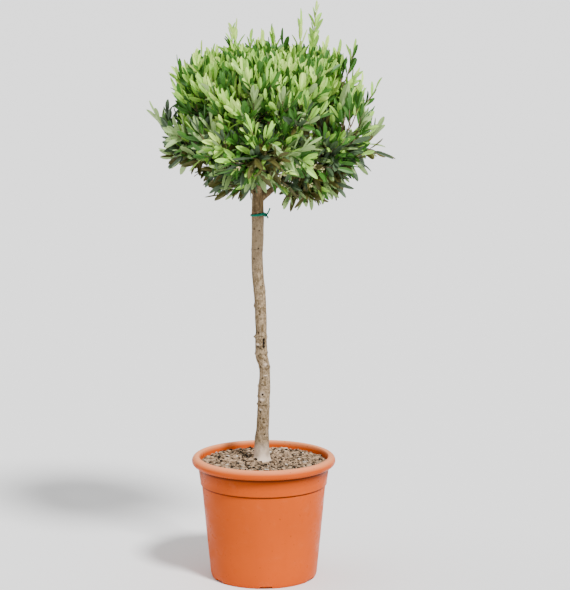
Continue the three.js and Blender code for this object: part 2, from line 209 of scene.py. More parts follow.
# The least and greatest distance between pairs of leaves, and the same on long shoots that end above
# the height SPARSE_FROM.
PAIR_STEPS = (0.0105, 0.0140)
SPARSE_STEPS = (0.016, 0.021)
SPARSE_FROM = 1.17

# Old cuts, knots and pits on the trunk: height, bearing, how far it stands out, its half width across
# and upwards, how dark it is (painted shade in the pits, darker bark on knots), and how pale.
BARK_MARKS = (
    (0.669, -180, 0.0026, 0.0040, 0.0055, 0.3, 0.0),
    (0.661, -146, -0.0006, 0.0030, 0.0050, 0.5, 0.0),
    (0.658, -103, -0.0007, 0.0040, 0.0032, 0.55, 0.0),
    (0.650, -100, -0.0010, 0.0022, 0.0021, 0.9, 0.0),
    (0.605, -166, -0.0022, 0.0026, 0.0052, 1.0, 0.0),
    (0.604, -118, -0.0014, 0.0024, 0.0030, 0.9, 0.0),
    (0.593, -180, 0.0040, 0.0045, 0.0030, 0.2, 0.2),
    (0.596, -97, -0.0012, 0.0090, 0.0014, 0.9, 0.0),
    (0.586, -56, -0.0040, 0.0046, 0.0048, 1.0, 0.0),
    (0.579, -57, -0.0042, 0.0046, 0.0071, 1.0, 0.0),
    (0.570, -58, -0.0040, 0.0046, 0.0048, 1.0, 0.0),
    (0.576, -125, 0.0016, 0.0040, 0.0022, 0.0, 1.0),
    (0.570, -121, -0.0016, 0.0036, 0.0018, 1.0, 0.0),
    (0.568, -156, -0.0014, 0.0026, 0.0026, 0.9, 0.0),
    (0.577, -99, -0.0009, 0.0022, 0.0024, 0.7, 0.0),
    (0.566, -100, -0.0010, 0.0036, 0.0028, 0.75, 0.0),
    (0.563, -79, -0.0008, 0.0022, 0.0021, 0.8, 0.0),
    (0.552, -166, 0.0022, 0.0040, 0.0030, 0.3, 0.6),
    (0.555, -21, 0.0022, 0.0040, 0.0034, 0.6, 0.0),
    (0.552, -98, -0.0008, 0.0030, 0.0014, 0.7, 0.0),
    (0.549, -51, -0.0008, 0.0028, 0.0020, 0.75, 0.0),
    (0.548, -123, -0.0008, 0.0022, 0.0021, 0.7, 0.0),
    (0.537, -71, -0.0010, 0.0022, 0.0024, 0.9, 0.0),
    (0.526, -74, 0.0020, 0.0044, 0.0035, 0.0, 0.75),
    (0.523, -58, -0.0030, 0.0024, 0.0024, 1.0, 0.0),
    (0.520, -132, -0.0010, 0.0030, 0.0034, 0.75, 0.0),
    (0.514, -79, -0.0008, 0.0080, 0.0012, 0.65, 0.0),
    (0.499, -81, 0.0010, 0.0042, 0.0014, 0.0, 0.9),
    (0.496, -81, -0.0012, 0.0036, 0.0014, 0.85, 0.0),
    (0.491, -120, -0.0012, 0.0022, 0.0024, 0.95, 0.0),
    (0.476, -116, -0.0016, 0.0026, 0.0020, 1.0, 0.0),
    (0.475, -90, -0.0008, 0.0022, 0.0021, 0.7, 0.0),
    (0.472, -180, 0.0024, 0.0040, 0.0036, 0.0, 0.9),
    (0.454, -109, 0.0016, 0.0046, 0.0045, 0.0, 0.75),
    (0.452, -106, -0.0050, 0.0036, 0.0038, 1.0, 0.0),
    (0.447, -93, -0.0008, 0.0028, 0.0020, 0.7, 0.0),
    (0.446, -180, 0.0020, 0.0036, 0.0030, 0.5, 0.2),
    (0.456, -43, -0.0008, 0.0022, 0.0021, 0.7, 0.0),
    (0.440, -112, 0.0006, 0.0060, 0.0034, 0.0, 0.7),
    (0.433, -126, -0.0018, 0.0032, 0.0018, 1.0, 0.0),
    (0.427, -180, 0.0020, 0.0036, 0.0026, 0.2, 0.4),
    (0.425, -90, -0.0009, 0.0130, 0.0014, 0.55, 0.0),
    (0.415, -120, 0.0008, 0.0034, 0.0018, 0.0, 0.9),
    (0.409, -123, -0.0014, 0.0028, 0.0020, 1.0, 0.0),
    (0.394, -118, -0.0007, 0.0024, 0.0036, 0.65, 0.0),
    (0.391, -94, -0.0007, 0.0024, 0.0028, 0.6, 0.0),
    (0.383, -80, -0.0006, 0.0028, 0.0028, 0.5, 0.0),
    (0.370, -91, -0.0008, 0.0022, 0.0026, 0.7, 0.0),
    (0.363, -132, -0.0006, 0.0022, 0.0021, 0.7, 0.0),
    (0.354, -69, -0.0010, 0.0022, 0.0021, 0.95, 0.0),
    (0.853, -73, -0.0012, 0.0022, 0.0021, 1.0, 0.0),
    (0.828, -101, -0.0007, 0.0026, 0.0016, 0.6, 0.0),
    (0.810, -78, -0.0010, 0.0022, 0.0021, 0.9, 0.0),
    (0.807, -110, -0.0006, 0.0070, 0.0012, 0.5, 0.0),
    (0.785, -123, -0.0012, 0.0026, 0.0020, 1.0, 0.0),
    (0.760, -118, -0.0008, 0.0060, 0.0014, 0.6, 0.0),
    (0.751, -147, -0.0007, 0.0024, 0.0022, 0.7, 0.0),
    (0.720, -53, -0.0006, 0.0022, 0.0021, 0.8, 0.0),
    (0.857, -123, -0.0006, 0.0030, 0.0026, 0.5, 0.0),
    (0.655, 60, 0.0022, 0.0060, 0.0050, 0.0, 0.3),
    (0.702, 110, -0.0010, 0.0022, 0.0021, 0.9, 0.0),
    (0.480, 100, 0.0022, 0.0060, 0.0050, 0.0, 0.8),
    (0.480, 100, -0.0040, 0.0026, 0.0028, 1.0, 0.0),
    (0.590, 30, 0.0024, 0.0060, 0.0045, 0.0, 0.5),
    (0.566, 84, -0.0026, 0.0030, 0.0080, 0.9, 0.0),
    (0.770, 140, 0.0018, 0.0060, 0.0050, 0.2, 0.0),
    (0.420, 20, 0.0020, 0.0050, 0.0040, 0.0, 0.3),
    (0.820, 70, -0.0010, 0.0022, 0.0021, 0.9, 0.0),
    (0.524, 130, -0.0012, 0.0030, 0.0020, 0.8, 0.0),
)
# Rings where the stem was once cut back or carried a pair of shoots: height and how far each stands out.
BARK_RINGS = ((0.594, 0.0011), (0.519, 0.0010), (0.428, 0.0010), (0.705, 0.0005), (0.806, 0.0006))

# Roots that swell the stem's foot: bearing and how far each stands out.
ROOT_SPURS = ((-84, 0.0050), (35, 0.0020), (160, 0.0040))

# The side of the stem on which the twine is knotted.
KNOT_BEARING = -22

# Kinds of leaves, how much of its upper colour each has below, and the share of each in sprays at a
# few heights. The last kind doesn't age.
LEAF_KINDS = ("young", "fresh", "deep", "grey", "dull", "silver")
UNDERSIDE_SHARES = (0.24, 0.24, 0.20, 0.14, 0.14, 0.04)
LEAF_SHARES = (
    (0.950, (0.00, 0.07, 0.24, 0.24, 0.34, 0.11)),
    (1.040, (0.06, 0.22, 0.24, 0.16, 0.05, 0.27)),
    (1.110, (0.22, 0.36, 0.20, 0.03, 0.00, 0.19)),
    (1.190, (0.44, 0.36, 0.14, 0.00, 0.00, 0.06)),
    (1.290, (0.52, 0.34, 0.14, 0.00, 0.00, 0.00)),
    (1.345, (0.95, 0.05, 0.00, 0.00, 0.00, 0.00)),
)

SILVER = LEAF_KINDS.index("silver")

# A leaf's stations along its length, its breadth at each as a share of the widest, and its thickness.
LEAF_STATIONS = ((0.07, 0.14), (0.25, 0.66), (0.52, 1.00), (0.78, 0.86), (0.94, 0.46))
BLADE_THICKNESS = 0.0006

# How leaves low and high in the crown differ: the degrees that they spread from their twig, how much
# they roll, and their length and width against the middling leaf's.
LEAF_SPREADS = (56, 38)
LEAF_ROLLS = (0.85, 0.50)
CROWN_LENGTHS = (1.16, 1)
CROWN_WIDTHS = (1.10, 0.98)
# The least and greatest length and width of single leaves, and of the youngest ones, against those.
LEAF_LENGTHS = (0.78, 1.18)
LEAF_WIDTHS = (0.80, 1.15)
YOUNG_LENGTH, YOUNG_WIDTH = 0.80, 0.82

# Leaves at the front that show their pale side: x and height of the root, how far the leaf leans to the
# right in degrees, its length and its width.
TURNED_LEAVES = (
    (0.054, 1.142, 92, 0.053, 0.0125),
    (0.121, 1.103, -84, 0.041, 0.0170),
    (0.170, 1.151, 16, 0.073, 0.0190),
    (0.031, 1.077, 130, 0.045, 0.0140),
    (0.103, 1.115, 56, 0.034, 0.0110),
    (0.101, 1.181, 40, 0.047, 0.0150),
    (0.029, 1.111, -169, 0.050, 0.0130),
    (0.014, 1.200, 146, 0.021, 0.0080),
    (0.045, 1.149, 6, 0.023, 0.0080),
    (-0.110, 1.108, 45, 0.032, 0.0120),
)

# Where the flower buds are thickest, as x and height in the front view.
BUD_PLACES = ((0.060, 1.022), (0.050, 0.975), (0.110, 1.012))

# Where the crown is open, as seen from the front: x, height, half width and half height, and the share
# of twigs and leaves that is missing there.
CLEARINGS = (
    (0.014, 0.944, 0.038, 0.026, 1.0),
    (0.070, 0.980, 0.014, 0.014, 0.6),
    (0.205, 0.985, 0.030, 0.018, 0.4),
    (-0.060, 0.930, 0.040, 0.020, 0.8),
    (-0.190, 0.960, 0.080, 0.030, 0.9),
    (0.245, 0.960, 0.050, 0.030, 0.9),
    (0.150, 1.010, 0.020, 0.014, 0.6),
    (-0.264, 1.068, 0.034, 0.056, 0.88),
    (-0.168, 1.000, 0.042, 0.024, 0.85),
    (0.240, 1.000, 0.034, 0.024, 0.85),
    (0.206, 1.110, 0.026, 0.030, 1.0),
    (0.135, 1.044, 0.016, 0.012, 0.8),
    (0.190, 1.216, 0.020, 0.018, 0.80),
    (0.240, 1.062, 0.030, 0.026, 0.40),
    (-0.205, 1.240, 0.050, 0.030, 0.35),
    (-0.052, 1.186, 0.016, 0.022, 0.55),
)


# Settings


def length_property(name, description, default):
    return bpy.props.FloatProperty(
        name=name, description=description, default=default, min=0, subtype="DISTANCE", unit="LENGTH"
    )


def colour_property(name, description, red, green, blue):
    return bpy.props.FloatVectorProperty(
        name=name,
        description=description,
        default=[linear(value) for value in (red, green, blue)],
        size=3,
        min=0,
        max=1,
        subtype="COLOR",
    )


def linear(value):
    """A screen value from 0 to 255 as linear light."""
    share = value / 255
    return share / 12.92 if share <= 0.04045 else ((share + 0.055) / 1.055) ** 2.4


class OliveSizes(bpy.types.PropertyGroup):
    pot_height: length_property("Pot height", "Height of the pot over its rim", POT_TOP.z)
    rim_radius: length_property("Rim radius", "Outside radius of the pot's rolled rim", POT_TOP.x)
    rim_roll: length_property("Rim roll", "Radius of the rim's rolled edge", 0.012)
    soil_top: length_property("Soil level", "Height of the compost's surface", SOIL_TOP.z)
    leaf_length: length_property("Leaf length", "Length of a middling leaf", 0.048)
    leaf_width: length_property("Leaf width", "Breadth of a middling leaf at its widest", 0.0126)
    twine: length_property("Twine radius", "Radius of the green twine", 0.0020)


class OliveColours(bpy.types.PropertyGroup):
    pot: colour_property("Pot", "Terracotta-coloured plastic", 200, 82, 15)
    soil: colour_property("Compost", "Dry compost", 190, 161, 131)
    bark: colour_property("Bark", "Smooth young bark", 133, 115, 91)
    bark_dark: colour_property("Old bark", "Fissures and older bark", 94, 76, 50)
    twine: colour_property("Twine", "Green garden twine", 0, 122, 98)
    young: colour_property("Young leaf", "Upper side of the newest leaves", 210, 248, 122)
    fresh: colour_property("Fresh leaf", "Upper side of this year's leaves", 168, 218, 94)
    deep: colour_property("Deep leaf", "Upper side of full-grown leaves", 66, 116, 38)
    grey: colour_property("Grey leaf", "Upper side of grey-green leaves", 76, 96, 68)
    dull: colour_property("Old leaf", "Upper side of the oldest leaves", 82, 80, 34)
    silver: colour_property("Silver leaf", "Upper side of the silvery leaves", 150, 178, 112)
    under: colour_property("Leaf underside", "Pale felted underside of a leaf", 236, 250, 196)
    bud: colour_property("Flower bud", "Cream flower buds", 226, 216, 160)


# Helpers for modelling


def added(operator, **settings):
    """Adds an object with nothing else selected, and returns it."""
    bpy.ops.object.select_all(action="DESELECT")
    operator(**settings)
    return bpy.context.view_layer.objects.active


def select_only(obj):
    bpy.ops.object.select_all(action="DESELECT")
    obj.select_set(True)
    bpy.context.view_layer.objects.active = obj


def apply_modifier(obj, kind, **settings):
    select_only(obj)
    modifier = obj.modifiers.new(kind.title(), kind)
    for key, value in settings.items():
        setattr(modifier, key, value)
    bpy.ops.object.modifier_apply(modifier=modifier.name)


def join(name, objects):
    select_only(objects[0])
    for obj in objects:
        obj.select_set(True)
    bpy.ops.object.join()
    joined = bpy.context.view_layer.objects.active
    joined.name = name
    joined.data.name = name
    return joined


def settle(obj):
    """Moves the object's place, turn and size into its mesh."""
    select_only(obj)
    bpy.ops.object.transform_apply(location=True, rotation=True, scale=True)


def mend_normals(obj):
    select_only(obj)
    bpy.ops.object.mode_set(mode="EDIT")
    bpy.ops.mesh.select_all(action="SELECT")
    bpy.ops.mesh.remove_doubles(threshold=1e-6)
    bpy.ops.mesh.normals_make_consistent(inside=False)
    bpy.ops.object.mode_set(mode="OBJECT")


def smooth_by_angle(obj, degrees):
    select_only(obj)
    bpy.ops.object.shade_smooth_by_angle(angle=math.radians(degrees))


def mesh_object(name, vertices, faces):
    mesh = bpy.data.meshes.new(name)
    mesh.from_pydata(vertices, [], faces)
    mesh.update()
    obj = bpy.data.objects.new(name, mesh)
    bpy.context.scene.collection.objects.link(obj)
    return obj


def dress(obj, slot, nodes, *materials):
    """Gives a finished piece its materials and its body, and hides the parts that it replaces. The slot
    is not used.
    """
    obj.data.materials.clear()
    for material in materials:
        obj.data.materials.append(material)
    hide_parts(*nodes)
    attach(obj, "root")


def ball_shape():
    """The corners and faces of a small round ball, for a piece that repeats it."""
    ball = added(bpy.ops.mesh.primitive_ico_sphere_add, subdivisions=1, radius=1)
    corners = np.array([tuple(vertex.co) for vertex in ball.data.vertices])
    faces = np.array([tuple(face.vertices) for face in ball.data.polygons])
    bpy.data.objects.remove(ball)
    return corners, faces


def tubes(name, limbs, roundness):
    """One mesh of round limbs. Each limb is a list of points and a list of radii."""
    obj = added(bpy.ops.curve.primitive_bezier_curve_add)
    obj.name = name
    curve = obj.data
    curve.splines.clear()
    curve.dimensions = "3D"
    curve.bevel_depth = 1.0
    curve.bevel_resolution = roundness
    curve.use_fill_caps = True
    for points, radii in limbs:
        spline = curve.splines.new("POLY")
        spline.points.add(len(points) - 1)
        for control, point, radius in zip(spline.points, points, radii):
            control.co = (*point, 1)
            control.radius = radius
    select_only(obj)
    bpy.ops.object.convert(target="MESH")
    obj.data.name = name
    return obj


def extrude_rings(obj, outline):
    """Draws the object's top face through rings of the given radius and height."""
    select_only(obj)
    mesh = obj.data
    top = max(vertex.co.z for vertex in mesh.vertices)
    radius = max(vertex.co.xy.length for vertex in mesh.vertices if vertex.co.z > top - 1e-6)
    bpy.ops.object.mode_set(mode="EDIT")
    bpy.ops.mesh.select_mode(type="FACE")
    bpy.ops.mesh.select_all(action="DESELECT")
    bpy.ops.object.mode_set(mode="OBJECT")
    for face in mesh.polygons:
        face.select = face.center.z > top - 1e-6
    bpy.ops.object.mode_set(mode="EDIT")
    height = top
    for next_radius, next_height in outline:
        bpy.ops.mesh.extrude_region_move(TRANSFORM_OT_translate={"value": (0, 0, next_height - height)})
        share = next_radius / radius
        bpy.ops.transform.resize(value=(share, share, 1), center_override=(0, 0, next_height))
        radius, height = next_radius, next_height
    bpy.ops.object.mode_set(mode="OBJECT")


# Helpers for materials


def shaded(colour, factor):
    return tuple(min(1, value * factor) for value in colour)


def blended(one, other, share):
    return tuple(a + (b - a) * share for a, b in zip(one, other))


class Finish:
    """A procedural material. Its colour is laid on in layers, each over the ones before it."""

    def __init__(self, name, roughness, specular):
        self.material = bpy.data.materials.new(name)
        self.material.use_nodes = True
        self.tree = self.material.node_tree
        self.shader = self.tree.nodes["Principled BSDF"]
        self.give(self.shader, {"Roughness": roughness, "Specular IOR Level": specular})
        self.colour = None

    def give(self, node, values):
        """Gives each of the node's inputs, by name or number, a plain value or a link."""
        for key, value in values.items():
            if isinstance(value, bpy.types.NodeSocket):
                self.tree.links.new(value, node.inputs[key])
            else:
                node.inputs[key].default_value = value

    def node(self, kind, values, output, **settings):
        """Adds a node and returns one of its outputs."""
        node = self.tree.nodes.new(f"ShaderNode{kind}")
        for key, value in settings.items():
            setattr(node, key, value)
        self.give(node, values)
        return node.outputs[output]

    def noise(self, scale, detail, roughness=0.5, stretch=(1, 1, 1)):
        """A pattern in the piece's own space. A low stretch draws it out along that axis."""
        place = self.node("TexCoord", {}, "Object")
        place = self.node("Mapping", {"Vector": place, "Scale": stretch}, "Vector")
        values = {"Vector": place, "Scale": scale, "Detail": detail, "Roughness": roughness}
        return self.node("TexNoise", values, "Fac")

    def ramp(self, factor, stops):
        """A colour ramp through stops of position and colour."""
        node = self.tree.nodes.new("ShaderNodeValToRGB")
        elements = node.color_ramp.elements
        while len(elements) < len(stops):
            elements.new(0.5)
        for element, (position, colour) in zip(elements, stops):
            element.position = position
            element.color = (*colour, 1)
        self.give(node, {"Fac": factor})
        return node.outputs["Color"]

    def shades(self, factor, colour, stops):
        """Shades of one colour, through stops of position and shade."""
        return self.ramp(factor, [(position, shaded(colour, shade)) for position, shade in stops])

    def mask(self, factor, low, high, top):
        """Zero below low, and rising to top at high."""
        values = {"Value": factor, "From Min": low, "From Max": high, "To Max": top}
        return self.node("MapRange", values, "Result")

    def lay(self, colour, factor):
        """Lays a colour, or a ramp of colours, on what is there, as strongly as the factor says."""
        if not isinstance(colour, bpy.types.NodeSocket):
            colour = (*colour, 1)
        self.colour = self.node("Mix", {0: factor, 6: self.colour, 7: colour}, 2, data_type="RGBA")

    def lay_pattern(self, colour, pattern, low, high, top):
        self.lay(colour, self.mask(pattern, low, high, top))

    def lay_band(self, colour, height, half_width, strength):
        """Lays a band round the piece: full at a height and gone at its half width above and below."""
        place = self.node("TexCoord", {}, "Object")
        level = self.node("SeparateXYZ", {"Vector": place}, "Z")
        offset = self.node("Math", {0: level, 1: height}, 0, operation="SUBTRACT")
        distance = self.node("Math", {0: offset}, 0, operation="ABSOLUTE")
        self.lay(colour, self.mask(distance, half_width, 0, strength))

    def lay_attribute(self, colour, name):
        """Lays a colour where the piece's own attribute says."""
        self.lay(colour, self.node("Attribute", {}, "Fac", attribute_name=name))

    def bump(self, height, distance, strength=1.0):
        values = {"Height": height, "Distance": distance, "Strength": strength}
        self.give(self.shader, {"Normal": self.node("Bump", values, "Normal")})

    def done(self):
        self.give(self.shader, {"Base Color": self.colour})
        return self.material


# Lines and limbs


def lerp(low, high, share):
    return low + (high - low) * share


def smoothstep(share):
    share = min(1, max(0, share))
    return share * share * (3 - 2 * share)


def bezier(start, bow, tip, steps):
    return [
        start * (1 - share) ** 2 + bow * (2 * share * (1 - share)) + tip * share**2
        for share in (i / steps for i in range(steps + 1))
    ]


def line_length(points):
    return sum((b - a).length for a, b in zip(points, points[1:]))


def across_from(axis):
    """A level direction across an axis."""
    across = axis.cross(UP)
    return across.normalized() if across.length > 1e-3 else Vector((1, 0, 0))


def station_above(heights, height):
    """The first station after the lowest that is at or above a height, or else the last."""
    last = len(heights) - 1
    return next((k for k in range(1, last) if heights[k] >= height - 1e-9), last)


def through_stations(stations, steps):
    """A smooth line through the stations, with points evenly spaced in height."""
    heights = [station[0] for station in stations]
    middles = [Vector((x, y, height)) for height, x, y, _ in stations]
    points = []
    for i in range(steps + 1):
        height = lerp(heights[0], heights[-1], i / steps)
        upper = station_above(heights, height)
        below, above = middles[upper - 1], middles[upper]
        before = middles[max(0, upper - 2)]
        after = middles[min(len(middles) - 1, upper + 1)]
        span = above.z - below.z
        share = (height - below.z) / span
        leave = (above - before) * (span / (above.z - before.z))
        arrive = (after - below) * (span / (after.z - below.z))
        square, cube = share**2, share**3
        point = (
            below * (2 * cube - 3 * square + 1)
            + leave * (cube - 2 * square + share)
            + above * (3 * square - 2 * cube)
            + arrive * (cube - square)
        )
        point.z = height
        points.append(point)
    return points


def trunk_radius(height):
    upper = station_above([station[0] for station in TRUNK_STATIONS], height)
    low, high = TRUNK_STATIONS[upper - 1], TRUNK_STATIONS[upper]
    return lerp(low[3], high[3], smoothstep((height - low[0]) / (high[0] - low[0])))


def point_along(points, share):
    """The place and direction at a share of a line's length."""
    left = share * line_length(points)
    for a, b in zip(points, points[1:]):
        length = (b - a).length
        if left <= length:
            return a.lerp(b, left / length), (b - a).normalized()
        left -= length
    return points[-1].copy(), (points[-1] - points[-2]).normalized()


def around_crown(bearing, out, height):
    angle = math.radians(bearing)
    return Vector(
        (CROWN_CENTRE.x + out * math.cos(angle), CROWN_CENTRE.y + out * math.sin(angle), height)
    )


def tapered(points, base, tip):
    last = len(points) - 1
    return points, [lerp(base, tip, i / last) for i in range(last + 1)]


def tier_limbs(parent, boughs):
    """Boughs that leave one parent, each a little further along it than the last."""
    limbs = []
    for i in range(boughs["count"]):
        bearing = boughs["first_bearing"] + i * boughs["turn"]
        tip = around_crown(bearing, boughs["tip_out"], boughs["tip_height"])
        start, _ = point_along(parent, boughs["start_first"] + i * boughs["start_step"])
        bow = start.lerp(tip, 0.5) + UP * (boughs["bow"] * (tip - start).length)
        limbs.append(tapered(bezier(start, bow, tip, BOUGH_STEPS), boughs["base"], boughs["tip"]))
    return limbs


def main_limbs():
    """Trunk, leader, high boughs and low boughs, each as points and radii."""
    trunk = through_stations(TRUNK_STATIONS, TRUNK_STEPS)
    bow, end = Vector(LEADER["bow"]), Vector(LEADER["end"])
    leader = bezier(trunk[-1], bow, end, BOUGH_STEPS)
    highs = tier_limbs(leader, HIGH_BOUGHS)
    lows = tier_limbs(trunk, LOW_BOUGHS)
    trunk_limb = (trunk, [trunk_radius(point.z) for point in trunk])
    return trunk_limb, tapered(leader, LEADER["base"], LEADER["tip"]), highs, lows


# The crown's growth


def seeded_random(seed):
    """Draws from 0 to 1, the same each time for a seed."""
    state = (seed * 7919 + 17) % 2**32

    def draw():
        nonlocal state
        state = (state * 1664525 + 1013904223) % 2**32
        return state / 2**32

    draw()
    draw()
    return draw


def dome_reach(direction):
    """How far the dome lies from the crown's centre in a direction."""
    level = math.hypot(direction.x, direction.y) / CROWN_RADIUS
    upright = abs(direction.z) / (CROWN_RISE if direction.z > 0 else CROWN_FALL)
    return (level**CROWN_BOXINESS + upright**CROWN_BOXINESS) ** (-1 / CROWN_BOXINESS)


def dome_share(point):
    """How far out a point is, as a share of the dome's reach in its direction."""
    offset = point - CROWN_CENTRE
    distance = offset.length
    return distance / dome_reach(offset / distance) if distance > 1e-6 else 0


def shoot_tips():
    """The points that the shoots reach, and whether each is a long one."""
    chance = seeded_random(1)
    tips = []
    layers = [(*layer, LOWEST_DIRECTION, 0) for layer in SHOOT_LAYERS]
    layers += [(*BETWEEN_SHOOTS, LOWEST_DIRECTION, 0.9), (*SPRIGS, LOWEST_SPRIG, 2.3)]
    for count, least, most, lowest, turn in layers:
        for i in range(count):
            height = 1 - 2 * (i + 0.5) / count
            level = math.sqrt(1 - height**2)
            bearing = i * GOLDEN_ANGLE + turn
            direction = Vector((level * math.cos(bearing), level * math.sin(bearing), height))
            reach = lerp(least, most, chance()) * dome_reach(direction)
            if height > lowest:
                tips.append((CROWN_CENTRE + direction * reach, False))
    tips += [(around_crown(*place), True) for place in LONG_SHOOTS]
    tips += [(around_crown(*place), False) for place in TOP_SHOOTS]
    return tips


def foliage_masses():
    """The stem of each mass: from its bough's tip, in line with it, to the mass's heart."""
    _, leader, highs, lows = main_limbs()
    places = [("foliage_top", leader, 0, TOP_HEART)]
    for tier, boughs, limbs, heart in (
        ("high", HIGH_BOUGHS, highs, HIGH_HEARTS),
        ("low", LOW_BOUGHS, lows, LOW_HEARTS),
    ):
        for i, limb in enumerate(limbs):
            bearing = boughs["first_bearing"] + i * boughs["turn"]
            places.append((f"foliage_{tier}_{i + 1}", limb, bearing, heart))
    masses = []
    for name, (points, radii), bearing, place in places:
        heart = around_crown(bearing, place["out"], place["height"])
        start = points[-1]
        heading = (start - points[-2]).normalized()
        bow = start + heading * ((heart - start).length / 2)
        stem = bezier(start, bow, heart, 12)
        masses.append({"name": name, "heart": heart, "stem": stem, "base": radii[-1]})
    return masses


MASS_NAMES = [mass["name"] for mass in foliage_masses()]


def shoot_line(stem, tip):
    """A shoot leaves the stem part of the way along it. In the upper crown it turns upwards, and
    below the crown's middle it arches over. Its last leaf spans the rest of the way to the tip."""
    root, end = stem[0], stem[-1]
    axis = end - root
    share = (tip - root).dot(axis) / axis.length_squared
    start, _ = point_along(stem, min(0.97, max(0.15, 0.8 * (share - 0.3))))
    top = start.lerp(tip, max(0.5, 1 - LAST_LEAF / (tip - start).length))
    length = (top - start).length
    outward = (tip - CROWN_CENTRE) * Vector((1, 1, 0))
    if tip.z > CROWN_CENTRE.z - 0.02:
        bend = outward.normalized() * 0.26 - UP * 0.34
    else:
        bend = UP * 0.16
    bow = start.lerp(top, 0.5) + bend * length
    return bezier(start, bow, top, 8)


def side_twig(start, axis, turn, lean, length, rise):
    """A finer twig that leans away from its parent and turns with the light, or hangs."""
    radial = Matrix.Rotation(turn, 3, axis) @ across_from(axis)
    heading = axis * math.cos(lean) + radial * math.sin(lean)
    bow = start + heading * (length * 0.5)
    tip = bow + (heading + UP * rise).normalized() * (length * 0.5)
    return bezier(start, bow, tip, 4)


class OliveGrowth:
    """All the twigs of the crown, and the leafy stretch of each."""

    def __init__(self):
        self.wood = []
        self.sprays = []
        chance = random.Random(21)
        masses = foliage_masses()
        for mass in masses:
            self.wood.append(tapered(mass["stem"], mass["base"], STEM_TIP))
        for tip, is_long in shoot_tips():
            mass = min(masses, key=lambda each: (each["heart"] - tip).length)
            self.grow_shoot(shoot_line(mass["stem"], tip), tip, is_long, chance)

    def grow_shoot(self, line, tip, is_long, chance):
        length = line_length(line)
        self.wood.append(tapered(line, THICK_SHOOT if length > THICK_FROM else THIN_SHOOT, SHOOT_TIP))
        reach = max(1.02, dome_share(tip)) + 0.03
        self.add_spray(line, SHOOT_BARE, reach, is_long and tip.z > SPARSE_FROM, chance)
        # Side twigs on a long shoot stay near the dome, and the others end within the shoot's reach.
        limit = (1.08 if tip.z < 0.96 else 1.04) if is_long else min(1.06, reach - 0.08)
        twigs = round(length / TWIG_SPACING)
        first = chance.random() * 2 * math.pi
        for i in range(twigs):
            along = lerp(*TWIG_STRETCH, (i + 0.5) / twigs)
            start, axis = point_along(line, along)
            height = (start.z - CROWN_CENTRE.z) / CROWN_RISE
            rise = lerp(-0.5, 1.7, smoothstep((height + 0.75) / 0.85)) + chance.uniform(-0.25, 0.25)
            size = lerp(*TWIG_LENGTHS, along) * chance.uniform(0.8, 1.2)
            lean = math.radians(chance.uniform(*TWIG_LEANS))
            twig = side_twig(start, axis, first + i * GOLDEN_ANGLE, lean, size, rise)
            if dome_share(twig[-1]) > limit or is_cleared(twig[-1], chance):
                continue
            self.wood.append(tapered(twig, *TWIG_RADII))
            self.add_spray(twig, TWIG_BARE, limit + 0.09, False, chance)

    def add_spray(self, line, bare, reach, is_sparse, chance):
        """Leaves start after the line's bare share, and none goes past the reach."""
        spray = {"line": line, "bare": bare, "reach": reach, "sparse": is_sparse}
        spray["seed"] = chance.random()
        self.sprays.append(spray)


def is_cleared(place, chance):
    """Whether something at a place falls away because the crown is open there."""
    for x, height, half_width, half_height, missing in CLEARINGS:
        inside = ((place.x - x) / half_width) ** 2 + ((place.z - height) / half_height) ** 2 < 1
        if inside and chance.random() < missing:
            return True
    return False


def leaf_kind(height, chance):
    heights = [station for station, _ in LEAF_SHARES]
    height = min(heights[-1], max(heights[0], height))
    upper = station_above(heights, height)
    (low, below), (high, above) = LEAF_SHARES[upper - 1 : upper + 1]
    share = (height - low) / (high - low)
    shares = [lerp(least, most, share) for least, most in zip(below, above)]
    return chance.choices(range(len(LEAF_KINDS)), shares)[0]


def square_to(direction, heading):
    """The part of a direction that is square to a heading."""
    return (direction - heading * direction.dot(heading)).normalized()


